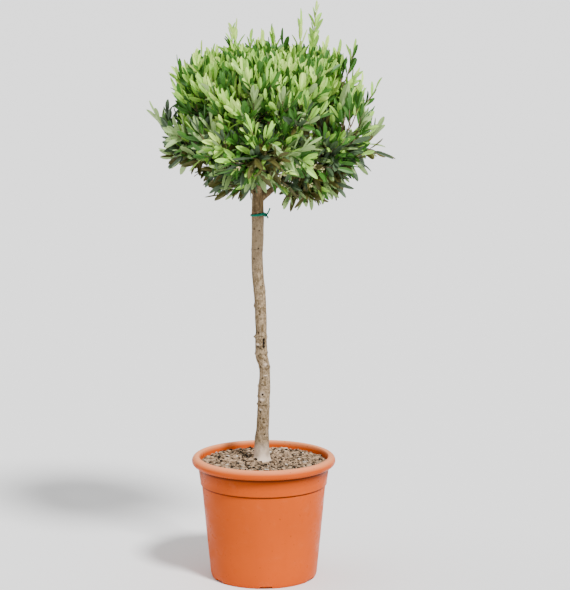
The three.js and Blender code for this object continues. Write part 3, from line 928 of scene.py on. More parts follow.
def leaves_of(spray, sizes):
    """Leaves in pairs along a spray, each pair turned a quarter from the last, and one at its end."""
    chance = random.Random(spray["seed"])
    line = spray["line"]
    end = line[-1]
    length = line_length(line)
    # Painted shade: sprays deep inside the crown are dealt the kinds of lower, darker leaves.
    depth = max(0, 0.85 - dome_share(end))
    kind = leaf_kind(end.z - 0.25 * depth + chance.uniform(-0.02, 0.02), chance)
    # How high the spray is in the crown sets how its leaves rise, spread and grow.
    middle = (end.z - CROWN_CENTRE.z) / CROWN_RISE
    lift = 0.72 * smoothstep((middle + 0.25) / 0.8)
    upper = smoothstep((middle + 0.3) / 0.8)
    spread = lerp(*LEAF_SPREADS, smoothstep((middle + 0.5) / 0.9))
    turn = chance.random() * 2 * math.pi
    step = chance.uniform(*(SPARSE_STEPS if spray["sparse"] else PAIR_STEPS))
    leaves = []
    count = max(1, int(length * (1 - spray["bare"]) / step))
    for pair in range(count + 1):
        along = 1 - pair * step / length
        if along < spray["bare"] and pair > 0:
            break
        root, axis = point_along(line, max(0, along))
        young = 1 - smoothstep(pair / 3)
        for side in range(1 if pair == 0 else 2):
            spin = turn + pair * math.pi / 2 + side * math.pi + chance.uniform(-0.3, 0.3)
            radial = Matrix.Rotation(spin, 3, axis) @ across_from(axis)
            lean = math.radians(lerp(spread, 20, young) + chance.uniform(-8, 8)) if pair else 0.06
            heading = axis * math.cos(lean) + radial * math.sin(lean)
            rise = lift * chance.uniform(0.4, 1.3) * (1 if pair else 0.4)
            heading = (heading + UP * rise).normalized()
            facing = square_to(axis if pair else radial, heading)
            roll = chance.gauss(0, lerp(*LEAF_ROLLS, upper))
            facing = Matrix.Rotation(roll, 3, heading) @ facing
            size = sizes.leaf_length * chance.uniform(*LEAF_LENGTHS)
            size = size * lerp(1, YOUNG_LENGTH, young) * lerp(*CROWN_LENGTHS, upper)
            width = sizes.leaf_width * chance.uniform(*LEAF_WIDTHS)
            width = width * lerp(1, YOUNG_WIDTH, young) * lerp(*CROWN_WIDTHS, upper)
            droop = chance.uniform(0.0, 0.08) + 0.20 * max(0, -middle)
            tip = root + heading * size - UP * (droop * size)
            if dome_share(tip) > spray["reach"] or is_cleared(root.lerp(tip, 0.6), chance):
                continue
            older = (chance.random() < 0.24 * pair) + (chance.random() < 0.20)
            oldest = "silver" if kind == SILVER else "deep" if upper > 0.7 else "dull"
            aged = min(LEAF_KINDS.index(oldest), kind + older)
            curl = chance.uniform(-0.14, 0.10)
            leaves.append((aged, root, heading, facing, size, width, droop, curl))
    return leaves


def turn_leaves(leaves):
    """The foremost leaf near each place on the list turns its pale side to the front."""
    for x, height, lean, length, width in TURNED_LEAVES:
        angle = math.radians(lean)
        heading = Vector((math.sin(angle), -0.55, math.cos(angle))).normalized()
        facing = square_to(Vector((0, 1, 0)), heading)
        gaps = [math.hypot(root.x - x, root.z - height) + 0.18 * root.y for _, root, *_ in leaves]
        nearest = gaps.index(min(gaps))
        root = leaves[nearest][1]
        leaves[nearest] = (SILVER, root, heading, facing, 1.12 * length, width, 0.02, 0.04)


# Materials of the pieces

# Bands round the pot, as height, half width and strength: painted shade under the collar and at its
# lip, where the rim and the lip cast their shadow, and a painted highlight along the top of the rim.
POT_PAINTED_SHADE = ((0.2725, 0.0060, 1.0), (0.2660, 0.0180, 0.42), (0.2300, 0.0034, 1.0))
PAINTED_RIM_HIGHLIGHT = (0.3000, 0.0112, 0.85)
RIM_HIGHLIGHT_TINT = (0.98, 0.47, 0.23)
DUST = (0.80, 0.46, 0.26)

# Bands round the stem: painted light on the stretch under the fork, where the crown's shade falls, the
# brown stretch above the foot, and the marks that the twine has rubbed.
PAINTED_LIGHT_UNDER_FORK = (0.8300, 0.0900, 0.62)
BROWN_STRETCH = (0.3900, 0.0420, 0.30)
RUBBED = ((0.8965, 0.0022, 0.45), (0.8835, 0.0022, 0.45))
RUBBED_BARK = (0.30, 0.13, 0.07)
CUT_WOOD = (0.94, 0.76, 0.61)


def pot_material(colours):
    """Matt terracotta-coloured plastic with faint streaks, dust, painted shade under the collar and at
    its lip, a painted highlight on the rim and a moulded grain.
    """
    finish = Finish("terracotta plastic", 0.62, 0.05)
    base = tuple(colours.pot)
    finish.colour = finish.shades(finish.noise(5.0, 3), base, ((0.35, 0.93), (0.68, 1.06)))
    streaks = finish.noise(3.0, 5, stretch=(14, 14, 1.2))
    finish.lay_pattern(shaded(base, 0.80), streaks, 0.48, 0.80, 0.16)
    dust = finish.noise(26.0, 8, 0.68, (1, 1, 1.6))
    finish.lay_pattern(blended(base, DUST, 0.5), dust, 0.58, 0.76, 0.14)
    # Painted shade: dark bands where the rim and the collar's lip shadow the wall.
    for band in POT_PAINTED_SHADE:
        finish.lay_band(shaded(base, 0.12), *band)
    # Painted highlight: the top of the rim is lighter, as where the light from above catches it.
    finish.lay_band(blended(shaded(base, 1.25), RIM_HIGHLIGHT_TINT, 0.66), *PAINTED_RIM_HIGHLIGHT)
    finish.lay_pattern(shaded(base, 0.35), finish.noise(210.0, 1), 0.745, 0.78, 0.6)
    gloss = finish.mask(finish.noise(34.0, 6, 0.6), 0.1, 0.9, 0.72)
    finish.give(finish.shader, {"Roughness": gloss})
    finish.bump(finish.noise(900.0, 2), 0.00018, 0.6)
    return finish.done()


def soil_material(name, base):
    """Dry crumbly compost, with near-black patches of painted shade for the gaps between its crumbs."""
    finish = Finish(name, 0.95, 0.1)
    # The darkest stop is painted shade for the gaps between the crumbs.
    shades = ((0.36, 0.08), (0.46, 0.62), (0.60, 1), (0.76, 1.40))
    finish.colour = finish.shades(finish.noise(120.0, 6, 0.7), base, shades)
    finish.bump(finish.noise(520.0, 5, 0.7), 0.0012)
    return finish.done()


def bark_material(name, colours, relief=True):
    """Beige-grey bark with fine fissures along the limb, painted shade in its pits, darker knots, and
    pale old cuts.
    """
    finish = Finish(name, 0.86, 0.12)
    base = tuple(colours.bark)
    dark = tuple(colours.bark_dark)
    broad = finish.noise(76.0, 4, 0.65, (1, 1, 0.6))
    stops = ((0.38, blended(base, dark, 0.85)), (0.50, base), (0.62, shaded(base, 1.50)))
    finish.colour = finish.ramp(broad, stops)
    mottle = finish.noise(170.0, 4, 0.7, (1, 1, 0.7))
    finish.lay_pattern(blended(base, dark, 0.95), mottle, 0.50, 0.58, 0.85)
    flecks = finish.noise(190.0, 4, 0.7, (1, 1.1, 0.8))
    finish.lay_pattern(shaded(base, 1.85), flecks, 0.51, 0.59, 0.80)
    fissures = finish.noise(220.0, 6, 0.7, (1, 1, 0.13))
    finish.lay_pattern(dark, fissures, 0.56, 0.72, 0.55)
    specks = finish.noise(240.0, 1, stretch=(1, 1, 0.8))
    finish.lay_pattern(shaded(dark, 0.30), specks, 0.68, 0.73, 0.85)
    if relief:
        # Painted light: a paler band that lifts the crown's shade off the stem under the fork.
        finish.lay_band(shaded(base, 1.55), *PAINTED_LIGHT_UNDER_FORK)
        finish.lay_band(dark, *BROWN_STRETCH)
        # Darker bark towards the top, and painted shade on the stem's left side.
        finish.lay_attribute(finish.shades(fissures, dark, ((0.42, 1.7), (0.58, 0.45))), "age")
        for band in RUBBED:
            finish.lay_band(RUBBED_BARK, *band)
        finish.lay_attribute(blended(base, CUT_WOOD, 0.78), "pale")
        # Painted shade in the pits, and the darker bark of knots.
        finish.lay_attribute(shaded(dark, 0.10), "cleft")
    finish.bump(fissures, -0.0006, 0.8)
    return finish.done()


def twine_material(colours):
    finish = Finish("green twine", 0.6, 0.2)
    fibres = finish.noise(1500.0, 4)
    finish.colour = finish.shades(fibres, tuple(colours.twine), ((0.3, 0.6), (0.7, 1.15)))
    finish.bump(fibres, 0.0003)
    return finish.done()


def leaf_material(name, colour, roughness, specular):
    """A plain base colour, with the finest mottling and no pattern that has a place."""
    finish = Finish(name, roughness, specular)
    finish.colour = finish.shades(finish.noise(420.0, 2), tuple(colour), ((0.25, 0.88), (0.75, 1.10)))
    return finish.done()


# Pieces

# The pot's outside radii and its levels from the foot up.
FOOT, HEEL, BELLY, SHOULDER, LIP, COLLAR = 0.126, 0.1305, 0.1394, 0.1510, 0.1545, 0.1602
POT_FLOOR, HEEL_LEVEL, BELLY_LEVEL, SHOULDER_LEVEL = 0.008, 0.010, 0.095, 0.228
LIP_LEVELS = (0.232, 0.235)
POT_WALL = 0.003
# The water channels under the pot: how many, where they start and how long, wide and high they are.
NOTCHES = {"count": 6, "start": 0.092, "length": 0.041, "width": 0.030, "height": 0.010}


class OLIVE_OT_pot(bpy.types.Operator):
    """Round plastic pot with a rolled rim, a collar with a thin lip and water notches in its foot"""

    bl_idname = "olive.pot"
    bl_label = "Pot"

    def execute(self, context):
        pot = added(
            bpy.ops.mesh.primitive_cone_add,
            vertices=128,
            radius1=FOOT,
            radius2=HEEL - 0.002,
            depth=POT_WALL,
            location=(0, 0, POT_WALL / 2),
        )
        settle(pot)
        sizes = context.scene.olive_sizes
        extrude_rings(pot, self.outside(sizes) + self.inside(sizes.pot_height, sizes.rim_roll))
        mend_normals(pot)
        self.cut_notches(pot)
        apply_modifier(
            pot, "BEVEL", width=0.0007, segments=2, limit_method="ANGLE", angle_limit=math.radians(38)
        )
        pot.name = "flower_pot"
        pot.data.name = pot.name
        smooth_by_angle(pot, 32)
        dress(pot, "pot_plastic", ["pot"], pot_material(context.scene.olive_colours))
        return {"FINISHED"}

    def outside(self, sizes):
        """Radius and height of each ring, up the body and the collar and over the rolled rim."""
        roll = sizes.rim_roll
        top = sizes.pot_height
        heel = Vector((HEEL, HEEL_LEVEL, 0))
        belly = Vector((BELLY - 0.0005, BELLY_LEVEL, 0))
        body = bezier(heel, belly, Vector((SHOULDER, SHOULDER_LEVEL, 0)), 8)
        rings = [(point.x, point.y) for point in body]
        rings += [(SHOULDER, LIP_LEVELS[0]), (LIP, LIP_LEVELS[0]), (LIP, LIP_LEVELS[1])]
        rings.append((COLLAR, top - 2 * roll))
        roll_centre = sizes.rim_radius - roll
        for i in range(13):
            angle = -math.pi / 2 + math.pi * i / 12
            rings.append((roll_centre + roll * math.cos(angle), top - roll + roll * math.sin(angle)))
        return rings

    def inside(self, top, roll):
        """The rings from the rim down to the pot's floor."""
        rings = [(0.158, top - 0.0012), (0.156, top - 0.005), (COLLAR - POT_WALL, top - 2 * roll)]
        rings += [(LIP - POT_WALL, LIP_LEVELS[1]), (SHOULDER - POT_WALL, SHOULDER_LEVEL)]
        rings += [(BELLY - POT_WALL, 0.082), (HEEL - POT_WALL, HEEL_LEVEL + POT_FLOOR)]
        return rings + [(FOOT - POT_WALL, POT_FLOOR), (0.02, POT_FLOOR)]

    def cut_notches(self, pot):
        """Shallow water channels run in from the foot, and one of them faces the front."""
        front = -math.pi / 2 + math.asin(0.006 / FOOT)
        middle = NOTCHES["start"] + NOTCHES["length"] / 2
        cutters = []
        for i in range(NOTCHES["count"]):
            angle = front + i * 2 * math.pi / NOTCHES["count"]
            cutter = added(
                bpy.ops.mesh.primitive_cube_add,
                size=1,
                location=(middle * math.cos(angle), middle * math.sin(angle), 0),
                rotation=(0, 0, angle),
                scale=(NOTCHES["length"], NOTCHES["width"], NOTCHES["height"]),
            )
            cutters.append(cutter)
        cutter = join("notch_cutter", cutters)
        settle(cutter)
        apply_modifier(pot, "BOOLEAN", object=cutter, operation="DIFFERENCE", solver="EXACT")
        bpy.data.objects.remove(cutter)


# The compost's surface layer, and the crumbs on it: how far out they lie, how far from the stem, their
# least and greatest size, and the share of them that are flat chips.
CRUST_RADIUS = 0.1556
CRUST_DEPTH = 0.016
CRUST_VOXEL = 0.0021
CRUMB_REACH = 0.1515
STEM_CLEARANCE = 0.024
CRUMB_SIZES = (0.0011, 0.0046)
CHIP_SHARE = 0.22
PALE_GRIT = (0.80, 0.72, 0.62)


def heap(place):
    """How much higher the compost lies where it is drawn up round the stem, most on the left."""
    left = math.exp(-((place.x + 0.024) ** 2 + (place.y + 0.017) ** 2) / 0.017**2)
    near = math.exp(-((place.x + 0.010) ** 2 + place.y**2) / 0.036**2)
    return 0.0085 * left + 0.0020 * near


class OLIVE_OT_soil(bpy.types.Operator):
    """Dry crumbly compost with bark chips and a few pale bits"""

    bl_idname = "olive.soil"
    bl_label = "Compost"

    def execute(self, context):
        top = context.scene.olive_sizes.soil_top
        base = tuple(context.scene.olive_colours.soil)
        body = self.fill(top)
        soil = join("compost", [self.crust(top), body])
        dress(soil, "potting_soil", ["soil"], soil_material("compost", base))
        for name, tone, count, seed in (
            ("crumb_brown", shaded(base, 0.46), 860, 5),
            ("crumb_beige", shaded(base, 1.08), 1200, 6),
            ("crumb_pale", blended(base, PALE_GRIT, 0.75), 130, 7),
            # Painted shade: near-black crumbs that stand for the shaded gaps in the compost.
            ("crumb_dark", shaded(base, 0.06), 600, 8),
        ):
            crumbs = self.crumbs(name, count, top, random.Random(seed))
            dress(crumbs, "potting_soil", ["soil"], soil_material(name.replace("_", " "), tone))
        return {"FINISHED"}

    def fill(self, top):
        """The compost down to the pot's floor."""
        body = added(
            bpy.ops.mesh.primitive_cone_add,
            vertices=64,
            radius1=0.1200,
            radius2=0.1263,
            depth=0.010,
            location=(0, 0, 0.0134),
        )
        settle(body)
        extrude_rings(body, [(0.1357, 0.082), (0.1473, 0.228), (0.1500, 0.235), (0.1544, top - 0.012)])
        mend_normals(body)
        smooth_by_angle(body, 30)
        return body

    def crust(self, top):
        """The surface layer, even at the wall and higher round the trunk, with crumbs and gaps."""
        crust = added(
            bpy.ops.mesh.primitive_cylinder_add,
            vertices=96,
            radius=CRUST_RADIUS,
            depth=CRUST_DEPTH,
            location=(0, 0, top - 0.002 - CRUST_DEPTH / 2),
        )
        settle(crust)
        apply_modifier(crust, "REMESH", mode="VOXEL", voxel_size=CRUST_VOXEL)
        for vertex in crust.data.vertices:
            if vertex.co.z < top - 0.0045:
                continue
            place = vertex.co.copy()
            lump = noise.noise(place * 55) * 0.0026 + noise.noise(place * 150) * 0.0024
            crumb = abs(noise.noise(place * 300)) * 0.0034
            edge = smoothstep((CRUST_RADIUS - place.xy.length) / 0.02)
            vertex.co.z += (lump + crumb) * lerp(0.35, 1, edge) + 0.0012 * edge - 0.0010
            vertex.co.z += heap(place)
        smooth_by_angle(crust, 50)
        return crust

    def crumbs(self, name, count, top, chance):
        """Small lumps and flat chips, strewn evenly but for the stem's place."""
        corners, faces = ball_shape()
        vertices, polygons = [], []
        for _ in range(count):
            out = CRUMB_REACH * math.sqrt(chance.random())
            bearing = chance.random() * 2 * math.pi
            place = Vector((out * math.cos(bearing), out * math.sin(bearing), 0))
            if (place - Vector((-0.005, 0, 0))).length < STEM_CLEARANCE:
                continue
            is_chip = chance.random() < CHIP_SHARE
            size = lerp(*CRUMB_SIZES, chance.random() ** 2.2)
            stretch = (size * (2.4 if is_chip else 1.2), size, size * (0.35 if is_chip else 0.75))
            turn = Matrix.Rotation(chance.random() * 2 * math.pi, 3, "Z")
            tilt = Matrix.Rotation(chance.uniform(-0.5, 0.5), 3, "X")
            jitter = np.array([[chance.uniform(0.7, 1.25) for _ in range(3)] for _ in corners])
            turned = (corners * jitter * np.array(stretch)) @ np.array(turn @ tilt).T
            sunk = lerp(0.0022, 0.0004, smoothstep((0.1525 - out) / 0.03))
            level = top - sunk + 0.3 * size + heap(place)
            offset = len(vertices)
            vertices.extend((turned + np.array((place.x, place.y, level))).tolist())
            polygons.extend((faces + offset).tolist())
        crumbs = mesh_object(name, vertices, polygons)
        smooth_by_angle(crumbs, 40)
        return crumbs


# A middling radius of the stem, for the breadth of its marks.
STEM_RADIUS = 0.0137
# The voxel of the bark's mesh, and what its smoothing takes off a limb's radius.
BARK_VOXEL = 0.0013
SMOOTHING_LOSS = 0.0008
# Heights from which the bark gets rougher, and darker towards the top.
ROUGH_FROM, DARKER_FROM = 0.860, 0.862


def turned_from(bearing, degrees):
    """How far a bearing has turned from one in degrees, between half a turn back and half a turn on."""
    return (bearing - math.radians(degrees) + math.pi) % (2 * math.pi) - math.pi


class OLIVE_OT_bark(bpy.types.Operator):
    """Trunk, leader and boughs with the relief of their bark, old cuts and knots"""

    bl_idname = "olive.bark"
    bl_label = "Trunk and boughs"

    def execute(self, context):
        trunk, leader, highs, lows = main_limbs()
        limbs = [
            (points, [radius + SMOOTHING_LOSS for radius in radii])
            for points, radii in (trunk, leader, *highs, *lows)
        ]
        bark = tubes("trunk_and_boughs", limbs, 6)
        apply_modifier(bark, "REMESH", mode="VOXEL", voxel_size=BARK_VOXEL)
        apply_modifier(bark, "SMOOTH", factor=0.5, iterations=5)
        self.raise_relief(bark.data, trunk[0])
        select_only(bark)
        bpy.ops.object.shade_smooth()
        nodes = ["trunk", "leader"]
        nodes += [f"bough_high_{i + 1}" for i in range(len(highs))]
        nodes += [f"bough_low_{i + 1}" for i in range(len(lows))]
        dress(bark, "bark", nodes, bark_material("olive bark", context.scene.olive_colours))
        return {"FINISHED"}

    def raise_relief(self, mesh, line):
        """Moves the surface along its normals, and keeps at each point how much darker it is towards the
        top and with the painted shade on its left side, how pale it is, and how dark its marks are, with
        the painted shade in their pits.
        """
        foot, crest = line[0].z, line[-1].z
        points = []
        for vertex in mesh.vertices:
            share = min(1, max(0, (vertex.co.z - foot) / (crest - foot)))
            middle = line[round(share * (len(line) - 1))]
            bearing = math.atan2(vertex.co.y - middle.y, vertex.co.x - middle.x)
            points.append(self.bark_at(vertex.co, bearing, vertex.co.z - foot))
        normals = [vertex.normal.copy() for vertex in mesh.vertices]
        shifts, *looks = zip(*points)
        for vertex, normal, shift in zip(mesh.vertices, normals, shifts):
            vertex.co += normal * shift
        for name, values in zip(("age", "pale", "cleft"), looks):
            mesh.attributes.new(name, "FLOAT", "POINT").data.foreach_set("value", values)
        mesh.update()

    def bark_at(self, place, bearing, rise):
        """How far the bark stands out at a place, how much darker it is there towards the top and with
        the painted shade on its left side, how pale it is, and how dark its marks are, with the painted
        shade in their pits.
        """
        # Broad lumps, furrows drawn out along the stem, and the finest grain.
        wide = Vector((place.x, place.y, place.z * 0.45))
        long = Vector((place.x, place.y, place.z * 0.22))
        shift = noise.noise(wide * 60) * 0.0011
        coarse = 0.5 + smoothstep((place.z - ROUGH_FROM) / 0.06)
        shift += noise.noise(long * 260) * 0.0006 * coarse
        shift += noise.noise(wide * 620 + Vector((3, 1, 7))) * 0.00028
        # The foot swells in three ribs and in its root spurs.
        ribs = 0.45 + 0.55 * math.cos(3 * bearing + 0.9) + 0.4 * noise.noise(Vector((bearing, 0, 4)))
        shift += 0.0030 * ribs * math.exp(-rise / 0.020)
        for turn, out in ROOT_SPURS:
            angle = turned_from(bearing, turn)
            shift += out * math.exp(-((angle / 0.55) ** 2)) * math.exp(-rise / 0.011)
        for height, out in BARK_RINGS:
            shift += out * math.exp(-(((place.z - height) / 0.0035) ** 2))
        dark = pale = 0.0
        # A mark's darkness is painted shade where it is a pit, and darker bark where it is a knot.
        for height, turn, out, across, along, darkness, paleness in BARK_MARKS:
            if abs(place.z - height) > 3 * along:
                continue
            arc = turned_from(bearing, turn) * STEM_RADIUS
            fall = math.exp(-((arc / across) ** 2) - ((place.z - height) / along) ** 2)
            shift += out * fall
            dark = max(dark, darkness * smoothstep(fall * 2.2 - 0.5))
            pale = max(pale, paleness * fall)
        mottle = noise.noise(wide * 90)
        pale = max(pale, smoothstep(1.45 - rise / 0.038) * (0.86 + 0.7 * mottle))
        # Painted shade: the stem's left side, away from the key light, is darker.
        left = max(0, -math.cos(bearing)) * 0.35
        above = smoothstep((place.z - DARKER_FROM) / 0.05)
        age = min(1, max(left, above)) * (0.75 + 0.5 * mottle)
        # The cut foot stays flat on the compost.
        return (shift if rise > 0.0005 else 0), age, pale, dark


TWINE_HEIGHT = 0.890


def knot_axes():
    """The way out from the stem at the knot, and the way across."""
    bearing = math.radians(KNOT_BEARING)
    out = Vector((math.cos(bearing), math.sin(bearing), 0))
    return out, Vector((-out.y, out.x, 0))


class OLIVE_OT_twine(bpy.types.Operator):
    """Green twine in two snug turns round the top of the stem, with its knot and short ends"""

    bl_idname = "olive.twine"
    bl_label = "Twine"

    def execute(self, context):
        radius = context.scene.olive_sizes.twine
        foot, crest = TRUNK_STATIONS[0][0], TRUNK_STATIONS[-1][0]
        centre, _ = point_along(main_limbs()[0][0], (TWINE_HEIGHT - foot) / (crest - foot))
        centre.z = TWINE_HEIGHT
        around = trunk_radius(TWINE_HEIGHT) + radius + 0.0005
        lines = [self.coil(centre, around), self.loose_end(centre, around, 1)]
        lines += [self.loose_end(centre, around, -1), self.knot(centre, around)]
        turns = [twist * 2 * math.pi / 3 for twist in range(3)]
        twine = tubes("twine", [self.strand(line, radius, turn) for turn in turns for line in lines], 1)
        mend_normals(twine)
        smooth_by_angle(twine, 60)
        dress(twine, "tie_twine", ["trunk_tie"], twine_material(context.scene.olive_colours))
        return {"FINISHED"}

    def coil(self, centre, around):
        """Two turns that climb a little, and lie higher on the right."""
        points = []
        for i in range(97):
            share = i / 96
            bearing = math.radians(KNOT_BEARING) + share * 4 * math.pi
            apart = 0.0023 + 0.0011 * math.cos(bearing)
            level = TWINE_HEIGHT + lerp(-apart, apart, share) + 0.0016 * math.cos(bearing)
            x = centre.x + around * math.cos(bearing)
            y = centre.y + around * math.sin(bearing)
            points.append(Vector((x, y, level)))
        return points

    def knot(self, centre, around):
        """A small overhand turn at the front right."""
        out, side = knot_axes()
        middle = centre + out * (around + 0.0022)
        points = []
        for i in range(20):
            angle = 2 * math.pi * i / 20
            point = middle + side * (0.0036 * math.cos(angle)) + UP * (0.0034 * math.sin(angle))
            points.append(point + out * (0.0012 * math.sin(2 * angle)))
        return points

    def loose_end(self, centre, around, way):
        """A long end that goes up, where the way is 1, or a short one that hangs, where it is -1."""
        out, side = knot_axes()
        start = centre + out * (around + 0.002)
        reach = 0.020 if way > 0 else 0.008
        tip = start + side * (0.006 * way) + out * 0.010 + UP * (reach * 0.8 * way)
        bow = start + out * 0.006 + side * (0.003 * way)
        return bezier(start, bow, tip, 16)

    def strand(self, line, radius, turn):
        """One of three strands that wind round the line."""
        points, radii = [], []
        length = 0
        for i, point in enumerate(line):
            ahead = line[min(i + 1, len(line) - 1)]
            behind = line[max(i - 1, 0)]
            axis = (ahead - behind).normalized()
            across = across_from(axis)
            length += (point - behind).length
            angle = turn + length / 0.0085 * 2 * math.pi
            offset = across * math.cos(angle) + across.cross(axis) * math.sin(angle)
            points.append(point + offset * (radius * 0.48))
            radii.append(radius * 0.56)
        return points, radii


class OLIVE_OT_twigs(bpy.types.Operator):
    """Stems, shoots and finer twigs that grow on from the boughs"""

    bl_idname = "olive.twigs"
    bl_label = "Twigs"

    def execute(self, context):
        twigs = tubes("twigs", OliveGrowth().wood, 1)
        mend_normals(twigs)
        smooth_by_angle(twigs, 75)
        material = bark_material("twig bark", context.scene.olive_colours, relief=False)
        dress(twigs, "bark", MASS_NAMES, material)
        return {"FINISHED"}


class OLIVE_OT_leaves(bpy.types.Operator):
    """Leaves in pairs along every twig, each kind joined as one piece"""

    bl_idname = "olive.leaves"
    bl_label = "Leaves"

    def execute(self, context):
        sizes = context.scene.olive_sizes
        colours = context.scene.olive_colours
        grown = [leaf for spray in OliveGrowth().sprays for leaf in leaves_of(spray, sizes)]
        turn_leaves(grown)
        for kind, (name, share) in enumerate(zip(LEAF_KINDS, UNDERSIDE_SHARES)):
            piece = self.blades(f"leaves_{name}", [leaf for own, *leaf in grown if own == kind])
            colour = tuple(getattr(colours, name))
            upper = leaf_material(f"{name} leaf", colour, 0.46, 0.34)
            pale = blended(tuple(colours.under), colour, share)
            under = leaf_material(f"{name} leaf underside", pale, 0.75, 0.2)
            dress(piece, "foliage", MASS_NAMES, upper, under)
        return {"FINISHED"}

    def blade_faces(self):
        """The upper and lower faces of one blade. Each station has four corners: its left edge, the
        midrib above, its right edge and the midrib below. A point closes either end."""
        upper, lower = [], []
        count = len(LEAF_STATIONS)
        for k in range(count - 1):
            a, b = 1 + 4 * k, 5 + 4 * k
            upper += [(a, a + 1, b + 1, b), (a + 1, a + 2, b + 2, b + 1)]
            lower += [(a, b, b + 3, a + 3), (a + 3, b + 3, b + 2, a + 2)]
        end, tip = 4 * count - 3, 4 * count + 1
        upper += [(0, 2, 1), (0, 3, 2), (end, end + 1, tip), (end + 1, end + 2, tip)]
        lower += [(0, 1, 4), (0, 4, 3), (end, tip, end + 3), (end + 3, tip, end + 2)]
        return upper, lower

    def blades(self, name, leaves):
        """Closed blades, folded a little along the midrib, each with its upper faces first."""
        along, across, fold, rib = [0], [0], [0], [0]
        for place, breadth in LEAF_STATIONS:
            along += [place] * 4
            across += [-breadth / 2, 0, breadth / 2, 0]
            fold += [breadth / 2, 0, breadth / 2, 0]
            rib += [0, 0, 0, -1]
        along, across, fold, rib = (
            np.array([*values, end])[:, None]
            for values, end in ((along, 1), (across, 0), (fold, 0), (rib, 0))
        )
        upper, lower = self.blade_faces()
        vertices, polygons = [], []
        for root, heading, facing, length, width, droop, curl in leaves:
            side = facing.cross(heading)
            spine = along * length * np.array(heading)
            breadth = across * width * np.array(side)
            lift = fold * width * 0.42 + rib * BLADE_THICKNESS + curl * length * along**2
            over = lift * np.array(facing)
            sag = -droop * length * along**2 * np.array(UP)
            offset = len(vertices)
            vertices.extend((np.array(root) + spine + breadth + over + sag).tolist())
            polygons.extend(tuple(index + offset for index in face) for face in upper + lower)
        piece = mesh_object(name, vertices, polygons)
        sides = np.tile([0] * len(upper) + [1] * len(lower), len(leaves))
        for _ in range(2):
            piece.data.materials.append(None)
        piece.data.polygons.foreach_set("material_index", sides)
        smooth_by_angle(piece, 18)
        return piece


class OLIVE_OT_buds(bpy.types.Operator):
    """Small cream flower buds in loose clusters on the twigs of the lower crown"""

    bl_idname = "olive.buds"
    bl_label = "Flower buds"

    def execute(self, context):
        colours = context.scene.olive_colours
        chance = random.Random(77)
        corners, faces = ball_shape()
        vertices, polygons, stalks = [], [], []
        for root, axis in self.places(chance):
            heading = (axis + self.shift(chance, 0.9)).normalized()
            tip = root + heading * chance.uniform(0.016, 0.026)
            stalks.append(([root, root.lerp(tip, 0.5), tip], [0.0005] * 3))
            for _ in range(chance.randint(8, 13)):
                along = root.lerp(tip, chance.uniform(0.35, 1.05))
                centre = along + self.shift(chance, 0.0048)
                stalks.append(([along, centre], [0.0003] * 2))
                offset = len(vertices)
                vertices.extend((corners * chance.uniform(0.0014, 0.0023) + np.array(centre)).tolist())
                polygons.extend((faces + offset).tolist())
        buds = mesh_object("flower_buds", vertices, polygons)
        smooth_by_angle(buds, 60)
        dress(buds, "foliage", MASS_NAMES, leaf_material("flower bud", colours.bud, 0.6, 0.2))
        stems = tubes("bud_stalks", stalks, 0)
        stalk_colour = blended(tuple(colours.bud), tuple(colours.fresh), 0.6)
        dress(stems, "foliage", MASS_NAMES, leaf_material("bud stalk", stalk_colour, 0.6, 0.2))
        return {"FINISHED"}

    def shift(self, chance, most):
        return Vector([chance.uniform(-most, most) for _ in range(3)])

    def places(self, chance):
        """Roots and directions of the clusters: near the lower front, and thinly all round."""
        places = []
        for spray in OliveGrowth().sprays:
            root, axis = point_along(spray["line"], chance.uniform(0.45, 0.85))
            near = min(math.hypot(root.x - x, root.z - height) for x, height in BUD_PLACES)
            share = 1.0 if near < 0.032 and root.y < 0 else 0.035
            if root.z < 1.12 and dome_share(root) > 0.5 and chance.random() < share:
                places.append((root, axis))
        return places


# The camera stands a little higher than the crown and looks down on it.
CAMERA_PLACE = (0.052, -5.0, 1.477)
CAMERA_DIP = 8.89
LENS = 128.07
# Lights: name, where each comes from, its power and its spread in degrees.
LIGHTS = (("key light", (2.0, -3.0, 4.2), 5.4, 11), ("top light", (-1.2, 0.4, 4.0), 1.1, 40))


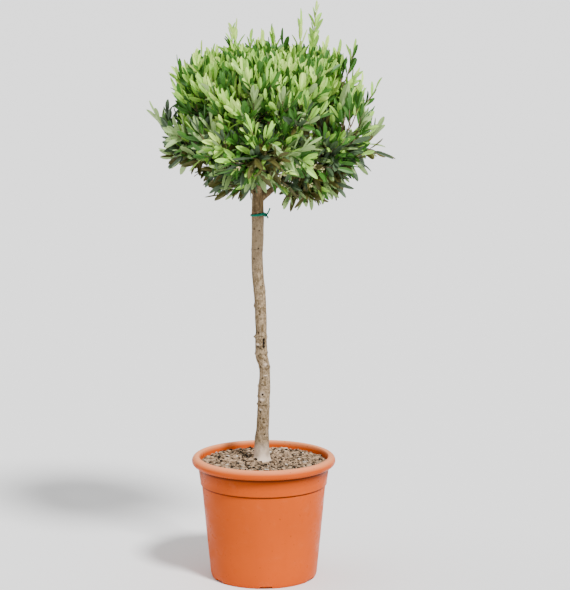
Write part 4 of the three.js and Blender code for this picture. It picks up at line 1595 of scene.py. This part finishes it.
class OLIVE_OT_stage(bpy.types.Operator):
    """Pale floor, soft studio light and the camera"""

    bl_idname = "olive.stage"
    bl_label = "Stage"

    def execute(self, context):
        floor = added(bpy.ops.mesh.primitive_plane_add, size=300, location=(0, 0, -0.0005))
        floor.name = "floor"
        finish = Finish("pale floor", 0.9, 0.1)
        finish.colour = (0.90, 0.90, 0.90, 1)
        floor.data.materials.append(finish.done())
        for light in LIGHTS:
            self.light(*light)
        world = bpy.data.worlds.new("pale room")
        context.scene.world = world
        world.use_nodes = True
        background = world.node_tree.nodes["Background"]
        background.inputs["Color"].default_value = (1, 1, 1, 1)
        background.inputs["Strength"].default_value = 0.52
        turn = (math.radians(90 - CAMERA_DIP), 0, 0)
        camera = added(bpy.ops.object.camera_add, location=CAMERA_PLACE, rotation=turn)
        camera.data.lens = LENS
        camera.data.sensor_width = 36
        camera.data.clip_end = 200
        context.scene.camera = camera
        return {"FINISHED"}

    def light(self, name, source, power, spread):
        """An even light that comes from the side of the given point."""
        turn = (-Vector(source)).to_track_quat("-Z", "Y").to_euler()
        lamp = added(bpy.ops.object.light_add, type="SUN", location=source, rotation=turn)
        lamp.name = name
        lamp.data.energy = power
        lamp.data.angle = math.radians(spread)


class OLIVE_PT_panel(bpy.types.Panel):
    """Sizes, colours and the steps that make the tree"""

    bl_idname = "OLIVE_PT_panel"
    bl_label = "Potted Olive Tree"
    bl_space_type = "VIEW_3D"
    bl_region_type = "UI"
    bl_category = "Olive"

    def draw(self, context):
        for settings in (context.scene.olive_sizes, context.scene.olive_colours):
            column = self.layout.column(align=True)
            for name in settings.__annotations__:
                column.prop(settings, name)
        for operator in OPERATORS:
            self.layout.operator(operator.bl_idname)


OPERATORS = (
    OLIVE_OT_pot,
    OLIVE_OT_soil,
    OLIVE_OT_bark,
    OLIVE_OT_twine,
    OLIVE_OT_twigs,
    OLIVE_OT_leaves,
    OLIVE_OT_buds,
    OLIVE_OT_stage,
)
CLASSES = (OliveSizes, OliveColours, *OPERATORS, OLIVE_PT_panel)


def register():
    for cls in CLASSES:
        bpy.utils.register_class(cls)
    bpy.types.Scene.olive_sizes = bpy.props.PointerProperty(type=OliveSizes)
    bpy.types.Scene.olive_colours = bpy.props.PointerProperty(type=OliveColours)


def unregister():
    del bpy.types.Scene.olive_colours
    del bpy.types.Scene.olive_sizes
    for cls in reversed(CLASSES):
        bpy.utils.unregister_class(cls)


def main():
    register()
    bpy.ops.olive.pot()
    bpy.ops.olive.soil()
    bpy.ops.olive.bark()
    bpy.ops.olive.twine()
    bpy.ops.olive.twigs()
    bpy.ops.olive.leaves()
    bpy.ops.olive.buds()
    bpy.ops.olive.stage()


if __name__ == "__main__":
    main()
